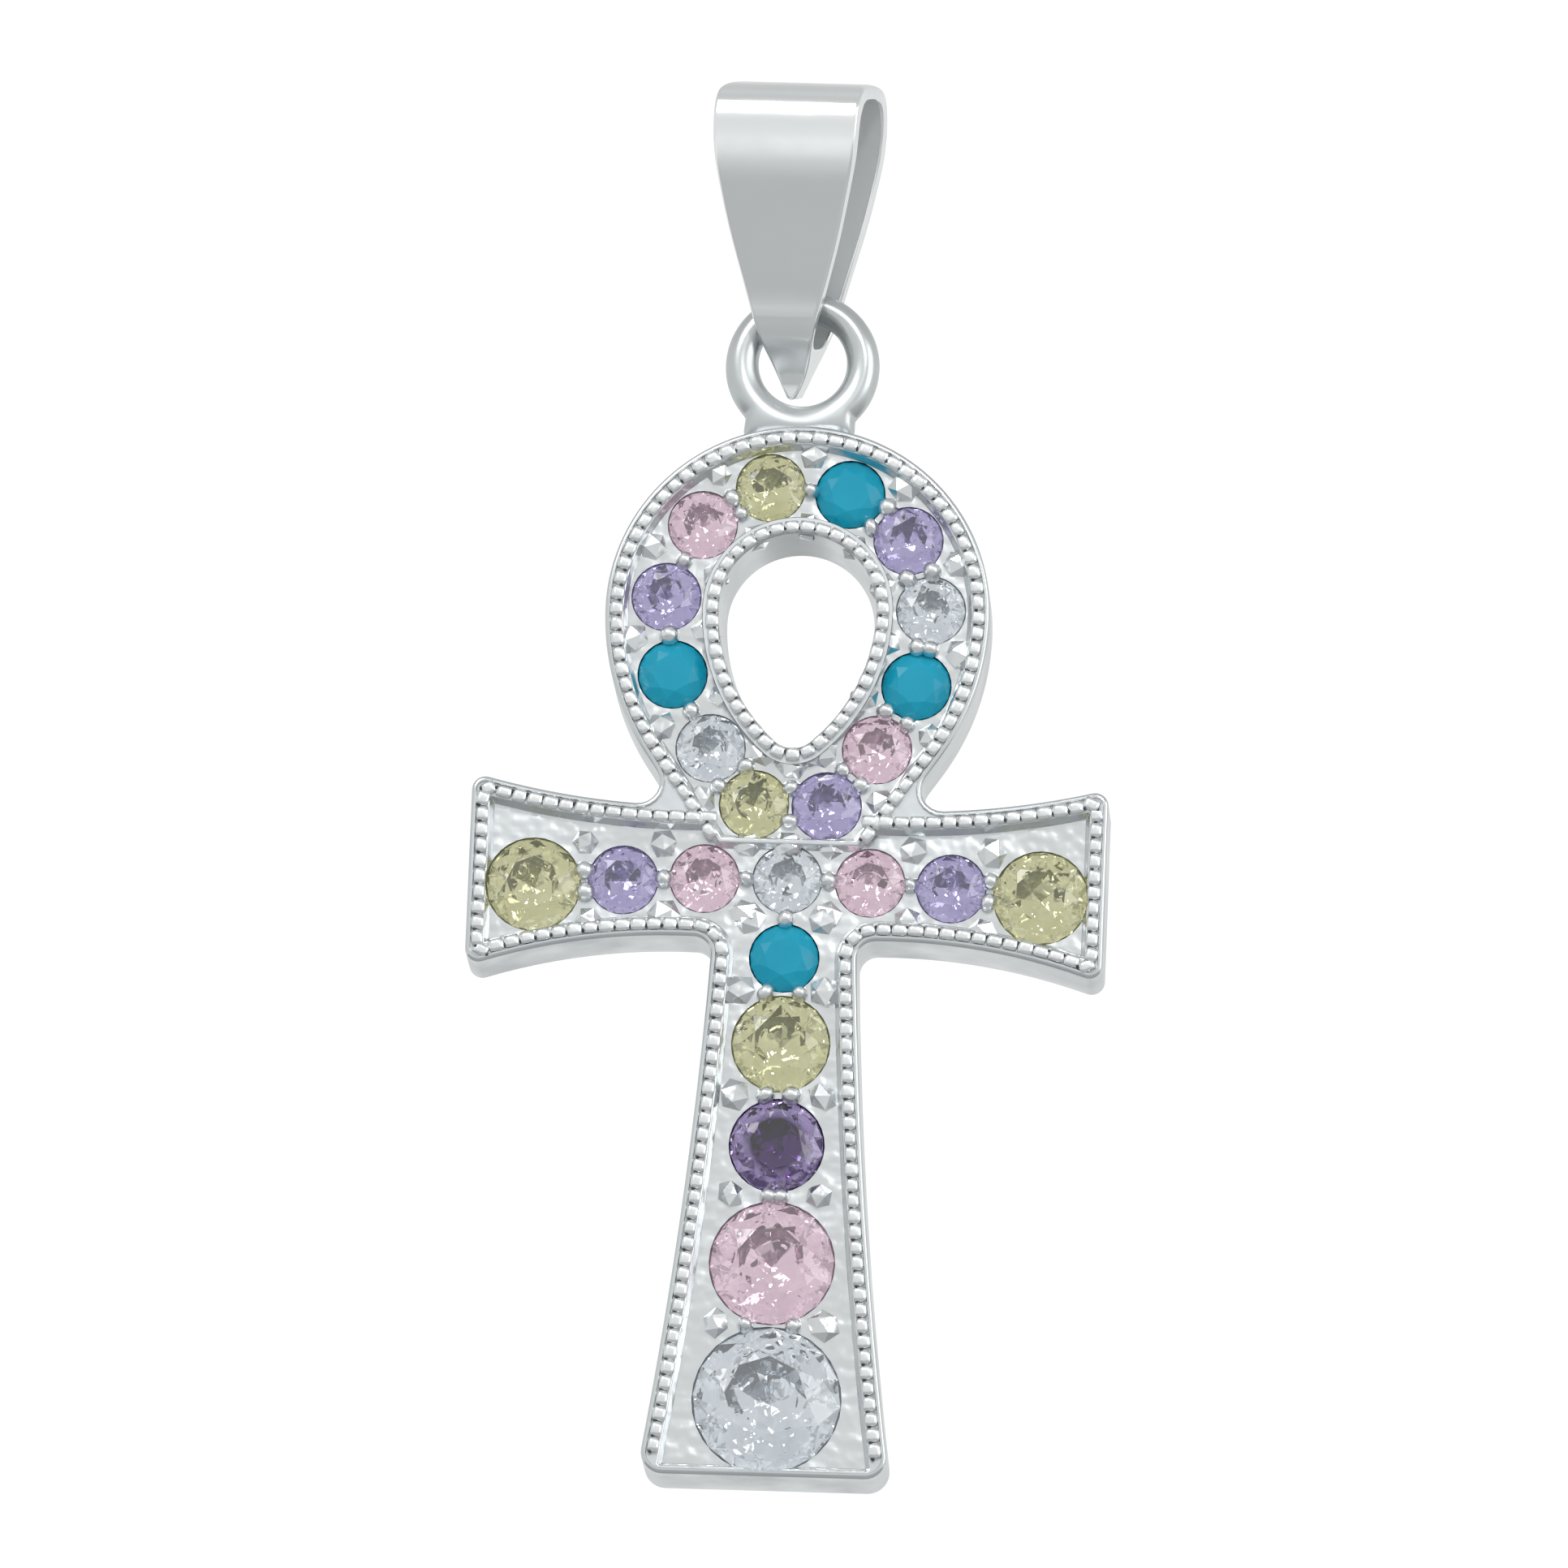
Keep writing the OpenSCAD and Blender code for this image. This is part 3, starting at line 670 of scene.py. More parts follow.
    def arm_rows(self, d: float) -> list[Plan]:
        """The rows of grains round both arms and down both sides of the stem, d inside the outline."""
        top = self.arm_top_root - d
        # without the eight points of the foot's corner
        side = self.arm_and_stem(d, 270, self.row_foot)[1:-8]
        right = [(self.flank(self.row_start[0], top)[0] + self.row_start[1], top), (self.arm_waist_x, top)] + side
        return [right, [(-x, z) for x, z in right]]


@dataclass(frozen=True)
class Stone:
    """One stone of the ankh: its node, its place and its diameter in millimetres."""

    node: str
    x: float
    z: float
    d: float


def placed_stones(origin: Vector) -> list[Stone]:
    """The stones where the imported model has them.

    Args:
        origin: The ankh's crossing in the frame, in metres.

    Returns:
        The stones, measured from the crossing.
    """
    stones = []
    for node in sorted(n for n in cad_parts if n.startswith("stone_")):
        low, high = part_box(node)
        middle = (low + high) / 2 - origin
        # a turned stone is narrower than its girdle, so the diameter comes from its height
        stones.append(Stone(node, middle.x / MM, middle.z / MM, (high.y - low.y) / MM / STONE_DEPTH))
    return stones


@dataclass
class AnkhBody:
    """The cast ankh: rounded edges, rims, sloped channel walls, floors, seats and a teardrop hole."""

    plan: AnkhPlan
    stones: list[Stone]
    front: float = -1.2
    back: float = 1.2
    floor: float = -0.78
    girdle: float = -0.74
    edge_r: float = 0.11
    brink_r: float = 0.05
    brink_turn: float = 80.0
    wall_run: float = 0.1
    # the wall's rounded foot, as (distance, depth) from where it would meet the floor
    wall_foot: tuple[Point, ...] = ((-0.01, -0.03), (0.015, 0.0), (0.03, 0.0))
    hole_draft: float = 0.16
    hole_brink: float = 0.59
    # how far the ridge lies below the rim, half of its low part, the slope at its ends, and its reach up and down
    ridge_drop: float = 0.12
    ridge_half: float = 2.0
    ridge_run: float = 0.35
    ridge_reach: float = 0.3
    band: float = 0.15
    band_run: float = 0.01
    bed: float = -1.11
    # the seat: its gap round the stone, its height over the rim, shares of the stone's radius as (out, down) from
    # the girdle, and the small hole under the culet
    seat_gap: float = 0.03
    seat_proud: float = 0.2
    seat_sides: tuple[Point, ...] = ((1.0, 0.05), (0.4, 0.52))
    seat_hole_r: float = 0.1
    seat_fall: float = 0.8
    # strips this narrow beside an edge keep its shading crisp
    support: float = 0.012

    def lowered(self, points: list[Point3]) -> list[Point3]:
        """Lowers the ridge between the two channels to its height below the rim."""
        drop, depth = self.ridge_drop + self.front - self.bed, self.floor - self.bed
        out = []
        for x, y, z in points:
            on_ridge = abs(z - self.plan.ridge_z) < self.ridge_reach and y < self.floor
            s = ease((self.ridge_half - abs(x)) / self.ridge_run) if on_ridge else 0.0
            out.append((x, self.floor - (self.floor - y) * (1 - s * drop / depth), z))
        return out

    def wall(self, shell: Shell, plan_at: Callable[[float], Plan], brink: float,
             sign: int) -> tuple[list[int], list[int]]:
        """Adds a channel's rounded brink and sloped wall.

        Args:
            shell: The mesh that it goes into.
            plan_at: Gives the plan for a distance.
            brink: Distance of the wall's top.
            sign: 1 where the channel lies at greater distances, -1 where it lies at smaller ones.

        Returns:
            The point numbers of the loop on the rim and of the one on the floor.
        """
        rows = [(brink - sign * (self.brink_r + self.support), self.bed)]
        for a in (math.radians(self.brink_turn * k / 3) for k in range(4)):
            rows.append((brink - sign * (self.brink_r - self.brink_r * math.sin(a)),
                         self.bed + self.brink_r * (1 - math.cos(a))))
        foot = brink + sign * self.wall_run
        rows += [(foot + sign * run, self.floor + fall) for run, fall in self.wall_foot]
        loops = [shell.loop(self.lowered([(x, y, z) for x, z in plan_at(d)])) for d, y in rows]
        shell.strips(loops, 1)
        return loops[0], loops[-1]

    def build(self, place: Matrix) -> Object:
        """Makes the body and cuts the seats."""
        shell, plan = Shell(), self.plan
        turn = rounded(self.edge_r)
        front = [(d, self.front + y) for d, y in turn] + [(self.edge_r + self.support, self.front)]
        front += [(self.band - self.support, self.front), (self.band, self.front + self.support),
                  (self.band + self.band_run, self.bed)]
        back = [(d, self.back - y) for d, y in turn] + [(self.edge_r + self.support, self.back)]
        side = [(0.0, self.front + self.edge_r + self.support), (0.0, self.back - self.edge_r - self.support)]
        rows = list(reversed(front)) + side + back
        outer = [shell.level(plan.outline(d), y) for d, y in rows]
        shell.strips(outer)
        # the hole opens a little towards the front, as it leaves the mould
        depth = self.back - self.front
        inner = [shell.level(plan.hole(d + self.hole_draft * (self.back - y) / depth), y) for d, y in rows]
        shell.strips(inner)
        loop_rim, loop_floor = self.wall(shell, plan.loop_channel, plan.rim_w, 1)
        arm_rim, arm_floor = self.wall(shell, plan.arm_channel, plan.rim_w, 1)
        hole_rim, hole_floor = self.wall(shell, plan.hole, self.hole_brink, -1)
        # the rims: outside the channels, and round the hole
        shell.sheet([outer[0], loop_rim, arm_rim], 2)
        shell.sheet([hole_rim, inner[0]], 2)
        shell.sheet([loop_floor, hole_floor], 1)
        shell.sheet([arm_floor], 1)
        shell.sheet([outer[-1], inner[-1]])
        # the third finish, on the sunk rims under the grains, is a shade darker: painted shade in the recess
        finishes = [metal.value.build() for metal in (Metal.POLISHED, Metal.BRIGHT_CUT, Metal.RECESS)]
        return self.cut_seats(shell.build("ankh_body", place, finishes), place)

    def cut_seats(self, body: Object, place: Matrix) -> Object:
        """Cuts the stones' seats out of the body.

        Args:
            body: The body without seats.
            place: Turn and offset of the ankh in millimetres.

        Returns:
            The body with seats, as a plain mesh.
        """
        shell, gap = Shell(), self.seat_gap
        for s in self.stones:
            r = s.d / 2
            profile = [(r + gap, self.front - self.seat_proud)]
            profile += [(out * r + gap, self.girdle + down * r + gap) for out, down in self.seat_sides]
            profile.append((self.seat_hole_r, self.girdle + self.seat_fall * r + gap))
            loops = [shell.level(arc((s.x, s.z), reach, 0, 360, 32)[:-1], y) for reach, y in profile]
            shell.strips(loops)
            shell.face(tuple(reversed(loops[0])), 0)
            shell.face(tuple(loops[-1]), 0)
        cutter = shell.build("seat_cutter", place, list(body.data.materials)[1:2])
        # the cut is made in millimetres, because the solver takes metres this small for touching points
        for mesh in (body.data, cutter.data):
            mesh.transform(Matrix.Scale(1 / MM, 4))
        modifier = body.modifiers.new("seats", "BOOLEAN")
        modifier.operation, modifier.solver, modifier.object = "DIFFERENCE", "MANIFOLD", cutter
        body = applied(body)
        body.data.transform(Matrix.Scale(MM, 4))
        bpy.data.objects.remove(cutter)
        smooth(body.data, CREASE)
        return body


class PointNodes:
    """Geometry Nodes that set small pieces of metal at points, each a little different in size."""

    def __init__(self, name: str, sizes: tuple[str, ...]) -> None:
        """Starts the tree.

        Args:
            name: Name of the tree.
            sizes: Names of its inputs for sizes.
        """
        self.tree = bpy.data.node_groups.new(name, "GeometryNodeTree")
        self.sockets: dict[str, str] = {}
        face = self.tree.interface
        face.new_socket("Geometry", in_out="INPUT", socket_type="NodeSocketGeometry")
        for key, kind in [(size, "Float") for size in sizes] + [("Seed", "Int")]:
            self.sockets[key] = face.new_socket(key, in_out="INPUT", socket_type="NodeSocket" + kind).identifier
        face.new_socket("Geometry", in_out="OUTPUT", socket_type="NodeSocketGeometry")
        self.given = add_node(self.tree, "NodeGroupInput").outputs

    def scatter(self, points: Node | NodeSocket, piece: Node, turn: Node, sizes: tuple[str, str, str],
                shares: tuple[Point3, Point3]) -> Node:
        """Sets a piece at every point.

        Args:
            points: The points.
            piece: The piece, before it is scaled.
            turn: How each one is turned.
            sizes: The inputs that scale it along X, Y and Z.
            shares: The least and the greatest share of that scale.

        Returns:
            The node that makes the pieces real geometry.
        """
        tree, given = self.tree, self.given
        size = add_node(tree, "ShaderNodeCombineXYZ", {axis: given[key] for axis, key in zip("XYZ", sizes)})
        uneven = add_node(tree, "FunctionNodeRandomValue", {"Seed": given["Seed"]},
                          {"Min": shares[0], "Max": shares[1]}, data_type="FLOAT_VECTOR")
        scale = add_node(tree, "ShaderNodeVectorMath", {0: size, 1: uneven}, operation="MULTIPLY")
        copies = add_node(tree, "GeometryNodeInstanceOnPoints", {
            "Points": points, "Instance": piece, "Rotation": turn, "Scale": scale})
        return add_node(tree, "GeometryNodeRealizeInstances", {"Geometry": copies})

    def build(self, name: str, rows: list[Row], y: float, place: Matrix, sizes: dict[str, float]) -> Object:
        """Makes the pieces.

        Args:
            name: Name of the mesh.
            rows: Paths in millimetres, or single points.
            y: Depth of the pieces' middles.
            place: Turn and offset in millimetres.
            sizes: Inputs of the tree by name, in metres.

        Returns:
            The pieces as one plain mesh.
        """
        points, edges = [], []
        for path, shut in rows:
            edges += chain(len(points), len(path), shut)
            points += [(x, y, z) for x, z in path]
        mesh = bpy.data.meshes.new(name)
        mesh.from_pydata(points, edges, [])
        mesh.transform(Matrix.Scale(MM, 4) @ place)
        obj = new_object(name, mesh, [])
        modifier = obj.modifiers.new("small_work", "NODES")
        modifier.node_group = self.tree
        for key, value in sizes.items():
            modifier[self.sockets[key]] = value
        return applied(obj)


class RowOfGrains(PointNodes):
    """Geometry Nodes that set milled grains along a path."""

    def __init__(self, material: Material, dark: Material) -> None:
        """Builds the tree.

        Args:
            material: The grains' material.
            dark: Material of the pits that the milling wheel leaves between them: painted shade between the grains.
        """
        super().__init__("milled_row", ("Pitch", "Length", "Width", "Height"))
        tree, given = self.tree, self.given
        path = add_node(tree, "GeometryNodeMeshToCurve", {"Mesh": given["Geometry"]})
        spots = add_node(tree, "GeometryNodeResampleCurve", {"Curve": path, "Length": given["Pitch"]}, mode="LENGTH")
        along = add_node(tree, "GeometryNodeInputTangent")
        turn = add_node(tree, "FunctionNodeAlignRotationToVector", {"Vector": along}, axis="X", pivot_axis="Y")
        # a cube of 54 faces drawn part of the way to a ball is a square grain with soft corners
        cube = add_node(tree, "GeometryNodeMeshCube",
                        inputs={"Size": (1.0, 1.0, 1.0), "Vertices X": 4, "Vertices Y": 4, "Vertices Z": 4})
        place = add_node(tree, "GeometryNodeInputPosition")
        ball = add_node(tree, "ShaderNodeVectorMath", {0: place}, operation="NORMALIZE")
        small = add_node(tree, "ShaderNodeVectorMath", {0: ball}, {"Scale": 0.56}, operation="SCALE")
        soft = add_node(tree, "ShaderNodeMix", {4: place, 5: small}, {0: 0.42}, data_type="VECTOR")
        dome = add_node(tree, "GeometryNodeSetPosition", {"Geometry": cube, "Position": soft.outputs[1]})
        # the pit stands at the grain's end, towards the channel
        pit = add_node(tree, "GeometryNodeMeshIcoSphere", inputs={"Radius": 1.0, "Subdivisions": 1})
        sunk = add_node(tree, "GeometryNodeTransform", {"Geometry": pit},
                        {"Translation": (0.5, -0.36, -0.2), "Scale": (0.13, 0.14, 0.17)})
        marked = add_node(tree, "GeometryNodeStoreNamedAttribute", {"Geometry": sunk},
                          {"Name": "pit", "Value": True}, data_type="BOOLEAN", domain="FACE")
        pair = add_node(tree, "GeometryNodeJoinGeometry")
        for part in (dome, marked):
            tree.links.new(part.outputs["Geometry"], pair.inputs["Geometry"])
        shade = add_node(tree, "GeometryNodeSetShadeSmooth", {"Geometry": pair})
        grains = self.scatter(spots, shade, turn, ("Length", "Height", "Width"), ((0.9, 0.85, 0.88), (1.06, 1.1, 1.08)))
        dress = add_node(tree, "GeometryNodeSetMaterial", {"Geometry": grains}, {"Material": material})
        # the pits take the dark material: painted shade between the grains
        pits = add_node(tree, "GeometryNodeInputNamedAttribute", inputs={"Name": "pit"}, data_type="BOOLEAN")
        painted_shade = add_node(tree, "GeometryNodeSetMaterial", {"Geometry": dress, "Selection": pits}, {"Material": dark})
        add_node(tree, "NodeGroupOutput", {"Geometry": painted_shade})


class SetBeads(PointNodes):
    """Geometry Nodes that raise round beads or cut nubs of metal at points."""

    def __init__(self, material: Material, smooth_beads: bool) -> None:
        """Builds the tree.

        Args:
            material: The beads' material.
            smooth_beads: True for round beads, False for faceted nubs.
        """
        super().__init__("set_beads", ("Radius", "Height"))
        tree, given = self.tree, self.given
        ball = add_node(tree, "GeometryNodeMeshIcoSphere",
                        inputs={"Radius": 1.0, "Subdivisions": 3 if smooth_beads else 1})
        shade = add_node(tree, "GeometryNodeSetShadeSmooth", {"Geometry": ball}, {"Shade Smooth": smooth_beads})
        turn = add_node(tree, "FunctionNodeRandomValue", {"Seed": given["Seed"]},
                        {"Min": (0.0, 0.0, 0.0), "Max": (0.0, math.tau, 0.0)}, data_type="FLOAT_VECTOR")
        beads = self.scatter(given["Geometry"], shade, turn,
                             ("Radius", "Height", "Radius"), ((0.82, 0.8, 0.82), (1.12, 1.1, 1.12)))
        dress = add_node(tree, "GeometryNodeSetMaterial", {"Geometry": beads}, {"Material": material})
        add_node(tree, "NodeGroupOutput", {"Geometry": dress})


def between(stones: list[Stone], reach: float) -> list[Row]:
    """The places beside the lines between neighbouring stones, as far from both girdles as the reach."""
    by_name = {s.node: s for s in stones}
    loop = [by_name[f"stone_loop_{i}"] for i in (1, 2, 3, 4, 5, 6, 11, 12, 7, 8, 9, 10)]
    arm = [by_name[f"stone_arm_{i}"] for i in range(1, 8)]
    stem = [by_name[f"stone_stem_{i}"] for i in range(1, 6)]
    pairs = [*zip(loop, loop[1:] + loop[:1]), *zip(arm, arm[1:]), (arm[3], stem[0]), *zip(stem, stem[1:])]
    return [([meet((a.x, a.z), a.d / 2 + reach, (b.x, b.z), b.d / 2 + reach, side)], False)
            for a, b in pairs for side in (-1, 1)]


# sizes of the small work in metres, and its seeds, by the inputs of its nodes
GRAIN = {"Pitch": 0.47 * MM, "Length": 0.475 * MM, "Width": 0.38 * MM, "Height": 0.27 * MM, "Seed": 4}
PRONG = {"Radius": 0.29 * MM, "Height": 0.42 * MM, "Seed": 7}
NUB = {"Radius": 0.48 * MM, "Height": 0.28 * MM, "Seed": 11}


@dataclass
class SmallWork:
    """The small work on the ankh: milled grains along its rims, and prongs and cut nubs between its stones."""

    body: AnkhBody
    rim_row: float = 0.345
    hole_row: float = 0.355
    grain_rise: float = 0.02
    prong_reach: float = 0.17
    nub_reach: float = 0.6

    def build(self, place: Matrix) -> list[Object]:
        """Makes the grains, the prongs and the nubs."""
        plan, stones, floor = self.body.plan, self.body.stones, self.body.floor
        rims = [plan.loop_row(self.rim_row)] + plan.arm_rows(self.rim_row)
        rows = [(path, False) for path in rims] + [(plan.hole(self.hole_row), True)]
        # the second material is painted shade for the pits between the grains
        grains = RowOfGrains(Metal.MILLED.value.build(), Metal.PIT.value.build()).build(
            "ankh_milled_rows", rows, self.body.bed - self.grain_rise, place, GRAIN)
        prongs = SetBeads(Metal.MILLED.value.build(), True).build(
            "ankh_bead_prongs", between(stones, self.prong_reach), floor, place, PRONG)
        nubs = SetBeads(Metal.BRIGHT_CUT.value.build(), False).build(
            "ankh_cut_nubs", between(stones, self.nub_reach), floor, place, NUB)
        return [grains, prongs, nubs]


@dataclass
class RingAndSolder:
    """The soldered ring on top of the loop, with its wire flared out into the solder."""

    plan: AnkhPlan
    wire_r: float = 0.45
    half_depth: float = 0.5
    ring_r: float = 2.31
    ring_x: float = -0.2
    ring_z: float = 15.96
    flare: float = 46.0
    foot: float = 18.0
    sink: float = 0.1
    swell: float = 0.18
    around: int = 144
    section: int = 28

    def reach(self, a: float) -> float:
        """How far the ring's outside lies from its centre.

        Args:
            a: Bearing from the ring's centre, in degrees.

        Returns:
            The distance in millimetres, which grows into the loop where the solder has run.
        """
        down = abs((a + 270) % 360 - 180)
        if down >= self.flare:
            return self.ring_r
        c = (self.ring_x - self.plan.loop_c[0], self.ring_z - self.plan.loop_c[1])
        b = c[0] * math.cos(math.radians(a)) + c[1] * math.sin(math.radians(a))
        loop = -b - math.sqrt(max(b * b - c[0] ** 2 - c[1] ** 2 + self.plan.loop_r ** 2, 0.0))
        return self.ring_r + ease((self.flare - down) / self.foot) * (loop + self.sink - self.ring_r)

    def build(self, place: Matrix, material: Material) -> Object:
        """Makes the ring with its flare."""
        shell, loops = Shell(), []
        for i in range(self.around):
            a = 360 * i / self.around
            # the wire is a little stouter away from the bail's fold
            far = self.reach(a)
            near = self.ring_r - 2 * self.wire_r - self.swell * (1 - math.sin(math.radians(a))) / 2
            middle = self.ring_r - self.wire_r
            points = []
            for k in range(self.section):
                t = 2 * math.pi * k / self.section
                out = math.cos(t)
                r = middle + (far - middle) * out if out > 0 else middle + (middle - near) * out
                x, z = polar((self.ring_x, self.ring_z), r, a)
                points.append((x, self.half_depth * math.sin(t), z))
            loops.append(shell.loop(points))
        shell.strips(loops + [loops[0]])
        return shell.build("ankh_ring", place, [material], angle=60)


@dataclass
class Bail:
    """The folded bail: a tapered strap over the chain's seat, its two tips soldered together under the ring."""

    height: float = 9.5
    width: float = 4.46
    strap_t: float = 0.46
    seat_half: float = 1.5
    link_half: float = 1.06
    link_drop: float = 6.5
    fold_fall: float = 0.9936
    close_len: float = 2.1
    edge_r: float = 0.1
    support: float = 0.01
    corner_r: float = 0.28
    # how square the crest and the fold are in the side view, where 2 is round, and the crest's height
    crest_power: float = 3.2
    fold_power: int = 3
    crest_share: float = 1.1
    # how it hangs: turned about Z, leant about Y and tipped about X, in degrees
    turn: float = -11
    lean: float = 3
    tip: float = 16
    # the strap's sides from the crest to the tip: (share of the height, share of the half width)
    sides: tuple[Point, ...] = ((0, 1), (0.088, 1), (0.218, 0.97), (0.348, 0.87), (0.48, 0.745), (0.616, 0.59),
                                (0.75, 0.43), (0.86, 0.3), (0.94, 0.175), (0.985, 0.08), (1, 0))

    @property
    def crest_h(self) -> float:
        """Height of the rounded part of the crest."""
        return self.crest_share * self.seat_half

    @property
    def fold_z(self) -> float:
        """Height of the inside of the fold that carries the ring."""
        return -self.link_drop - self.fold_fall

    @property
    def tip_z(self) -> float:
        """Height of the tip."""
        return self.strap_t - self.height

    def half_width(self, z: float) -> float:
        """The strap's half width at the height z."""
        t = min(max((self.strap_t - z) / self.height, 0.0), 1.0)
        rows, n = self.sides, len(self.sides)
        i = next((k for k in range(n - 2) if t <= rows[k + 1][0]), n - 2)
        h = rows[i + 1][0] - rows[i][0]
        u = (t - rows[i][0]) / h
        if i == n - 2:
            return self.width / 2 * rows[i][1] * math.sqrt(max(1 - u * u, 0.0))

        def slope(k: int) -> float:
            """Slope of the smooth curve at the row k."""
            if k in (0, n - 1):
                return 0.0
            return (rows[k + 1][1] - rows[k - 1][1]) / (rows[k + 1][0] - rows[k - 1][0])

        share = ((1 + 2 * u) * (1 - u) ** 2 * rows[i][1] + u * (1 - u) ** 2 * h * slope(i)
                 + u * u * (3 - 2 * u) * rows[i + 1][1] - u * u * (1 - u) * h * slope(i + 1))
        # the crest's corners are rounded off
        gone = max(self.corner_r - (self.strap_t - z), 0.0)
        return self.width / 2 * share - self.corner_r + math.sqrt(max(self.corner_r ** 2 - gone ** 2, 0.0))

    @property
    def fold_h(self) -> float:
        """Height of the fold, from where the strap begins to close down to its inside."""
        return -self.link_drop - self.fold_z

    def inner_half(self, z: float) -> float:
        """Half of the inside depth at the height z, below the crest."""
        if z > -self.link_drop:
            share = ease((-self.crest_h - z) / (self.link_drop - self.crest_h))
            return self.seat_half + (self.link_half - self.seat_half) * share
        share = max(1 - ((-self.link_drop - z) / self.fold_h) ** self.fold_power, 0.0)
        return self.link_half * share ** (1 / self.fold_power)

    def outer_half(self, z: float) -> float:
        """Half of the outside depth at the height z, below the crest."""
        if z > -self.link_drop:
            return self.inner_half(z) + self.strap_t
        return self.strap_t + self.link_half * (1 - ease((-self.link_drop - z) / (self.close_len * self.fold_h)))

    def crest(self, half: float, h: float) -> Plan:
        """The squarish crest from its top down to its side, half as deep as given and h high, as (y, z)."""
        power = 2 / self.crest_power
        angles = [math.radians(90 - 3.75 * i) for i in range(25)]
        return [(half * max(math.cos(a), 0.0) ** power, -h + h * max(math.sin(a), 0.0) ** power) for a in angles]

    @staticmethod
    def levels(top: float, foot: float, n: int) -> list[float]:
        """The n even steps from the top down to the foot, without the top."""
        return [top + (foot - top) * i / n for i in range(1, n + 1)]

    def outer_side(self) -> Plan:
        """The side view's outside, closed, as (y, z)."""
        crest = self.crest(self.seat_half + self.strap_t, self.crest_h + self.strap_t)
        levels = self.levels(-self.crest_h, -self.link_drop, 20) + self.levels(-self.link_drop, self.tip_z, 24)
        return closed([(y, z + self.strap_t) for y, z in crest] + [(self.outer_half(z), z) for z in levels])

    def inner_side(self) -> Plan:
        """The side view's inside, closed, as (y, z)."""
        levels = self.levels(-self.crest_h, -self.link_drop, 20)
        levels += [-self.link_drop + (self.fold_z + self.link_drop) * math.sin(math.radians(7.5 * i))
                   for i in range(1, 13)]
        return closed(self.crest(self.seat_half, self.crest_h) + [(self.inner_half(z), z) for z in levels])

    @staticmethod
    def shifted(side: Plan, d: float) -> Plan:
        """A closed outline moved inwards by d with mitred corners, for outlines that run clockwise."""
        out, n = [], len(side)
        for i, here in enumerate(side):
            normals = []
            for p, q in ((side[i - 1], here), (here, side[(i + 1) % n])):
                length = math.dist(p, q) or 1.0
                normals.append(((q[1] - p[1]) / length, (p[0] - q[0]) / length))
            (ay, az), (by, bz) = normals
            # the mitre is cut short at a very sharp corner
            k = d / max(1 + ay * by + az * bz, 0.5)
            out.append((here[0] + k * (ay + by), here[1] + k * (az + bz)))
        return out

    def build(self, materials: list[Material]) -> Object:
        """Makes the bail, with the materials of its outside and of its inside."""
        shell = Shell()
        place = (Matrix.Rotation(math.radians(self.turn), 4, "Z") @ Matrix.Rotation(math.radians(self.lean), 4, "Y")
                 @ Matrix.Rotation(math.radians(self.tip), 4, "X"))
        # from the edge's flat to the strap's face: (in along the side view, in across the width)
        flat = self.edge_r + self.support
        rows = [(flat, 0.0)] + [(inward, across) for across, inward in rounded(self.edge_r)] + [(0.0, flat)]
        ends = {}
        for name, side, sign in (("outer", self.outer_side(), 1), ("inner", self.inner_side(), -1)):
            halves = []
            for flip in (1, -1):
                loops = [shell.loop([(flip * max(self.half_width(z) - across, 0.0), y, z)
                                     for y, z in self.shifted(side, sign * inward)]) for inward, across in rows]
                shell.strips(loops)
                halves.append(loops[-1])
                ends[name, flip] = loops[0]
            shell.strips(halves, 1 if name == "inner" else 0)
        for flip in (1, -1):
            shell.sheet([ends["outer", flip], ends["inner", flip]], 0, (1, 2))
        return shell.build("bail_strap", place, materials, angle=40)


# The studio


@dataclass(frozen=True)
class Lamp:
    """A square soft lamp.

    Attributes:
        name: Name of the lamp.
        place: Where it hangs, in metres.
        side: Its side, in metres.
        power: Its power, in watts.
    """

    name: str
    place: Point3
    side: float
    power: float

    def build(self, aim: Point3) -> None:
        """Hangs the lamp so that it faces the aim."""
        data = bpy.data.lights.new(self.name, "AREA")
        data.size, data.energy = self.side, self.power
        lamp = bpy.data.objects.new(self.name, data)
        lamp.location = self.place
        lamp.rotation_euler = (Vector(aim) - lamp.location).to_track_quat("-Z", "Y").to_euler()
        bpy.context.scene.collection.objects.link(lamp)


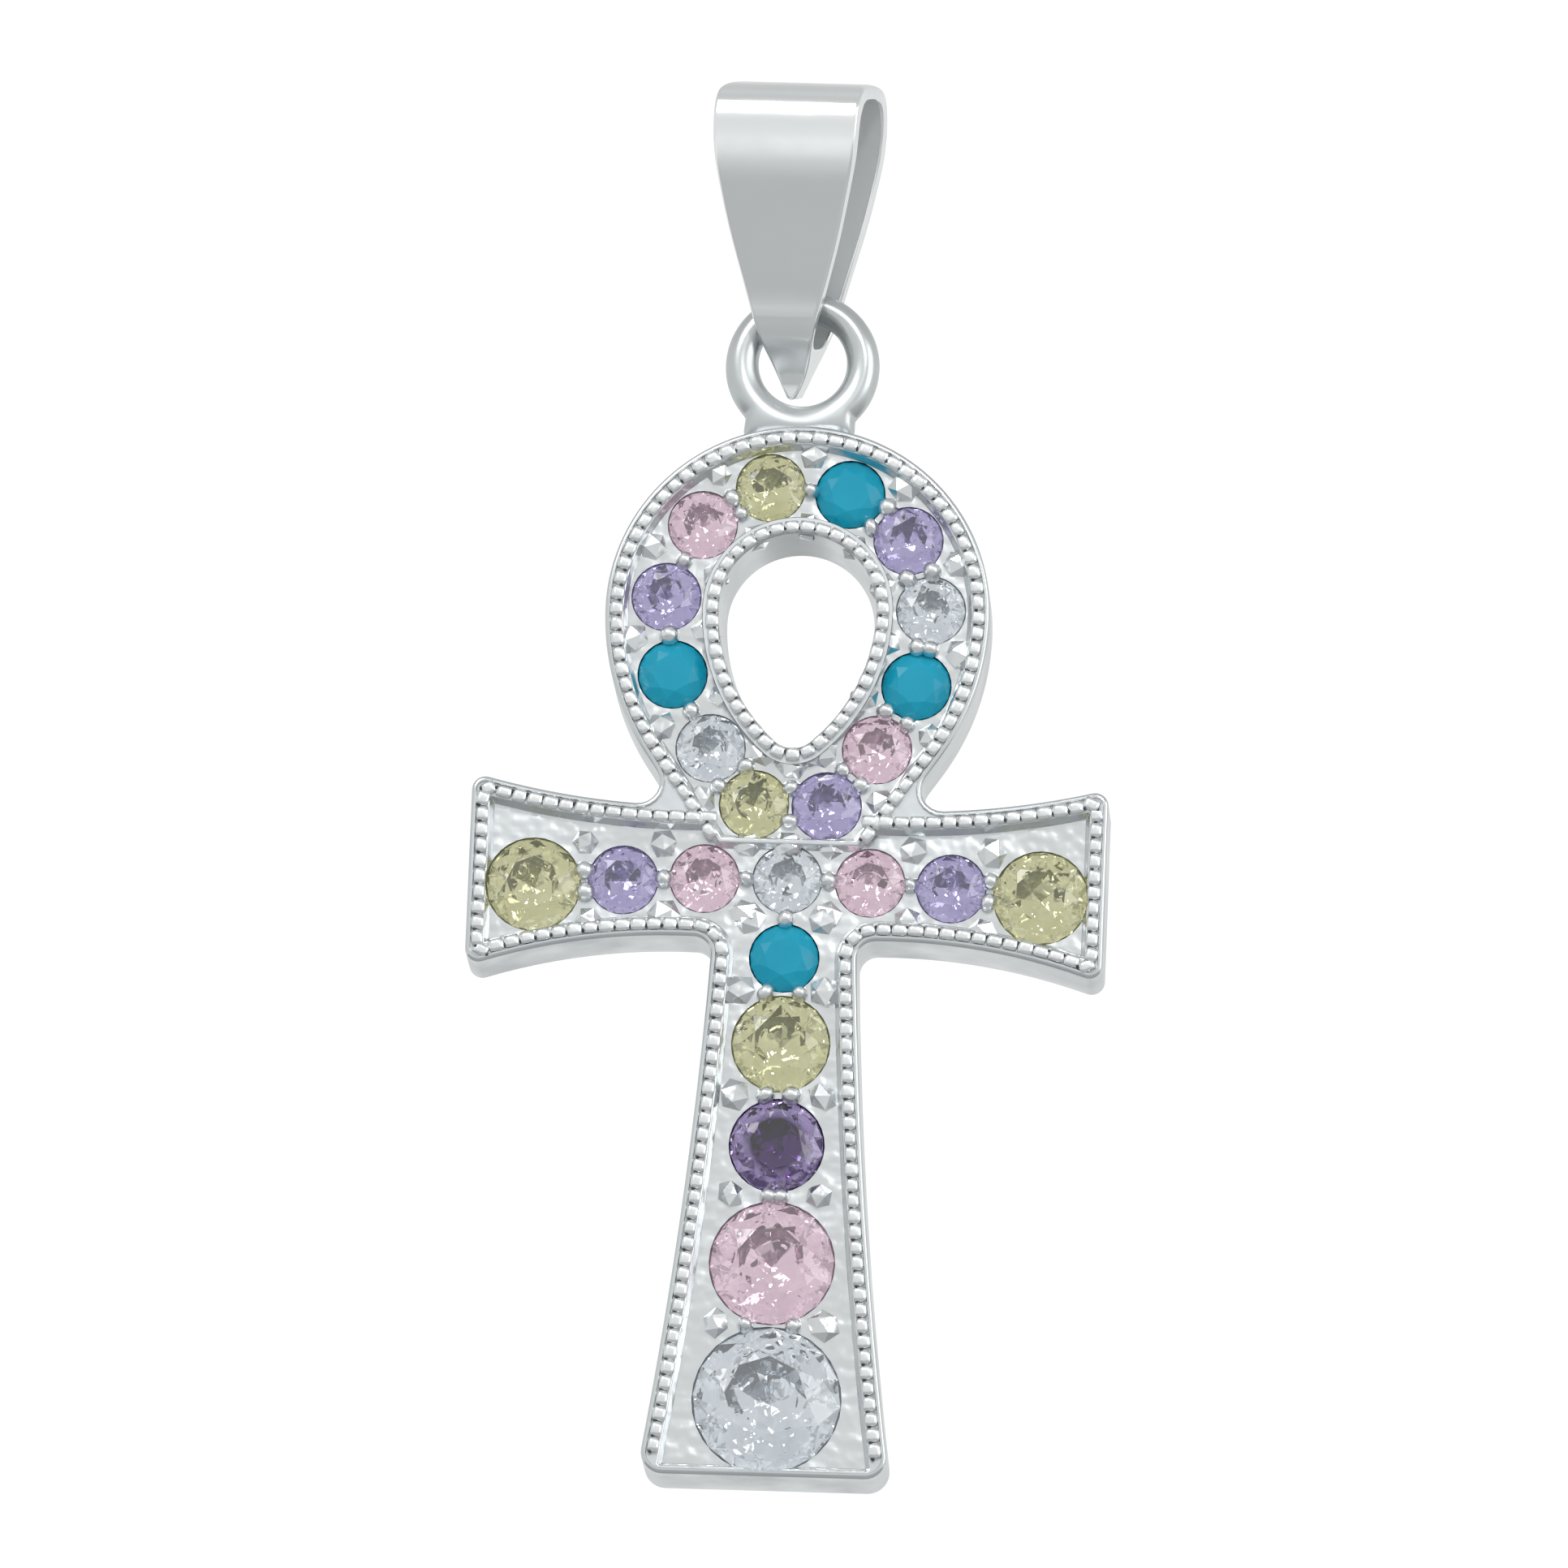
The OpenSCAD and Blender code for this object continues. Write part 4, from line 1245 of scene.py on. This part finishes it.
@dataclass
class Studio:
    """Camera at the photograph's angle, a pale floor and soft lights."""

    origin: Vector
    azimuth: float = 3.166
    elevation: float = -13.3
    roll: float = 2.308
    frame_mm: float = 46.75
    lens: float = 500.0
    sensor: float = 36.0
    side_px: int = 1932
    crossing_px: Point = (971.6, 1091.2)
    floor_z: float = -0.25
    floor_half: float = 0.55
    floor_paint: str = "#BFC0C1"
    # brightness of the surroundings by the angle above the horizon, in degrees
    bands: tuple[Point, ...] = ((-90, 0.6), (-40, 0.52), (-27, 0.6), (-24.5, 0.62), (-17, 0.62), (-15, 1.05),
                                (-9, 0.85), (5, 0.8), (13, 0.84), (25, 0.78), (45, 0.64), (70, 0.62), (90, 0.7))
    # share of red in them, which makes them a little cool
    cool: float = 0.985
    # the white patch behind the pendant: the angles from its middle where it begins and is full, and its brightness
    patch: Point = (5.0, 3.2)
    patch_light: float = 1.05
    aim: Point3 = (0.0, 0.0, -0.02)
    lamps: tuple[Lamp, ...] = (Lamp("key_light", (-0.25, -0.45, 0.35), 0.30, 0.85),
                               Lamp("fill_light", (0.45, -0.30, 0.10), 0.35, 0.5),
                               Lamp("spark_light", (0.10, -0.50, 0.25), 0.05, 0.5))

    @property
    def back(self) -> Vector:
        """The way from the pendant to the camera."""
        a, e = math.radians(self.azimuth), math.radians(self.elevation)
        return Vector((math.sin(a) * math.cos(e), -math.cos(a) * math.cos(e), math.sin(e)))

    def camera(self) -> None:
        """Sets the camera so that the ankh's crossing falls where the photograph has it."""
        a, rho = math.radians(self.azimuth), math.radians(self.roll)
        back, right = self.back, Vector((math.cos(a), math.sin(a), 0.0))
        up = back.cross(right)
        # the photograph is turned clockwise by the roll
        tilted_right = right * math.cos(rho) + up * math.sin(rho)
        tilted_up = up * math.cos(rho) - right * math.sin(rho)
        k = self.frame_mm * MM / self.side_px
        half = self.side_px / 2
        x, y = self.crossing_px
        aim = self.origin - tilted_right * (x - half) * k - tilted_up * (half - y) * k
        distance = self.frame_mm * MM * self.lens / self.sensor
        camera = bpy.data.objects.new("camera", bpy.data.cameras.new("camera"))
        camera.data.lens, camera.data.sensor_width = self.lens, self.sensor
        camera.data.clip_start, camera.data.clip_end = 0.01, 20.0
        camera.matrix_world = Matrix.Translation(aim + back * distance) @ Matrix(
            (tilted_right, tilted_up, back)).transposed().to_4x4()
        bpy.context.scene.collection.objects.link(camera)
        bpy.context.scene.camera = camera

    def floor(self) -> None:
        """Lays the plain pale floor."""
        mesh = bpy.data.meshes.new("studio_floor")
        corners = ((-1, -1), (1, -1), (1, 1), (-1, 1))
        mesh.from_pydata([(x * self.floor_half, y * self.floor_half, self.floor_z) for x, y in corners], [],
                         [(0, 1, 2, 3)])
        material = bpy.data.materials.new("studio_floor_paint")
        material.use_nodes = True
        shader = material.node_tree.nodes["Principled BSDF"]
        shader.inputs["Base Color"].default_value = colour(self.floor_paint)
        shader.inputs["Roughness"].default_value = 0.9
        new_object("studio_floor", mesh, [material])

    def world(self) -> None:
        """Makes the surroundings: soft grey bands, and a white patch behind the pendant as large as the photograph."""
        world = bpy.data.worlds.new("studio")
        bpy.context.scene.world = world
        world.use_nodes = True
        tree = world.node_tree
        tree.nodes.clear()
        way = add_node(tree, "ShaderNodeTexCoord").outputs["Generated"]
        parts = add_node(tree, "ShaderNodeSeparateXYZ", {"Vector": way})
        high = add_node(tree, "ShaderNodeMapRange", {"Value": parts.outputs["Z"]}, {"From Min": -1.0, "From Max": 1.0})
        bands = add_node(tree, "ShaderNodeValToRGB", {"Fac": high})
        ramp = bands.color_ramp
        for angle, value in self.bands:
            # the ramp has its two ends from the start
            end = {-90: 0, 90: -1}.get(angle)
            element = ramp.elements.new((math.sin(math.radians(angle)) + 1) / 2) if end is None else ramp.elements[end]
            element.color = (value * self.cool, value, value, 1.0)
        ahead = add_node(tree, "ShaderNodeVectorMath", {0: way}, {1: -self.back}, operation="DOT_PRODUCT")
        behind = add_node(tree, "ShaderNodeMapRange", {"Value": ahead.outputs["Value"]},
                          {"From Min": math.cos(math.radians(self.patch[0])),
                           "From Max": math.cos(math.radians(self.patch[1]))})
        sky = add_node(tree, "ShaderNodeMix", {0: behind, 6: bands},
                       {7: (self.patch_light,) * 3 + (1.0,)}, data_type="RGBA")
        light = add_node(tree, "ShaderNodeBackground", {"Color": sky.outputs[2]}, {"Strength": 1.0})
        add_node(tree, "ShaderNodeOutputWorld", {"Surface": light})

    def build(self) -> None:
        """Makes the studio."""
        bpy.context.scene.view_settings.view_transform = "Standard"
        self.camera()
        self.floor()
        self.world()
        for lamp in self.lamps:
            lamp.build(self.aim)


# the stones' colours in the order of their nodes
COLOURS = {
    "loop": "yellow turquoise violet clear turquoise pink clear turquoise violet pink violet yellow",
    "arm": "yellow violet pink clear pink violet yellow",
    "stem": "turquoise yellow dark_violet pink clear",
}


def dress_stones() -> None:
    """Gives every stone's node the material of its colour."""
    made = {gem: gem.value.build() for gem in Gem if gem is not Gem.DARK_VIOLET}
    # the painted shade lies in the middle of the stone's front
    low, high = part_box("stone_stem_3")
    made[Gem.DARK_VIOLET] = Gem.DARK_VIOLET.value.build(Vector(((low.x + high.x) / 2, low.y, (low.z + high.z) / 2)))
    for group, names in COLOURS.items():
        for i, name in enumerate(names.split(), 1):
            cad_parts[f"stone_{group}_{i}"].material_slots[0].material = made[Gem[name.upper()]]


def main() -> None:
    """Builds the pendant's pieces in order."""
    logging.basicConfig(level=logging.INFO, format="%(message)s")
    low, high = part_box("ankh_frame")
    plan = AnkhPlan()
    origin = Vector(((low.x + high.x) / 2, (low.y + high.y) / 2, low.z + plan.stem_drop * MM))
    hang = Matrix.Translation(origin / MM)
    stones = placed_stones(origin)
    LOG.info("crossing at %s, %d stones", origin, len(stones))

    Studio(origin).build()
    LOG.info("studio built")

    body = AnkhBody(plan, stones)
    pieces = [body.build(hang), RingAndSolder(plan).build(hang, Metal.WIRE.value.build()), *SmallWork(body).build(hang)]
    for piece in pieces:
        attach(piece, "ankh")
        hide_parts("ankh_frame")
        LOG.info("%s: %d faces", piece.name, len(piece.data.polygons))

    strap = Bail().build([Metal.STRAP.value.build(), Metal.SATIN.value.build()])
    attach(strap, "bail")
    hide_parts("bail")
    LOG.info("%s: %d faces", strap.name, len(strap.data.polygons))

    dress_stones()
    LOG.info("stones dressed")


if __name__ == "__main__":
    main()
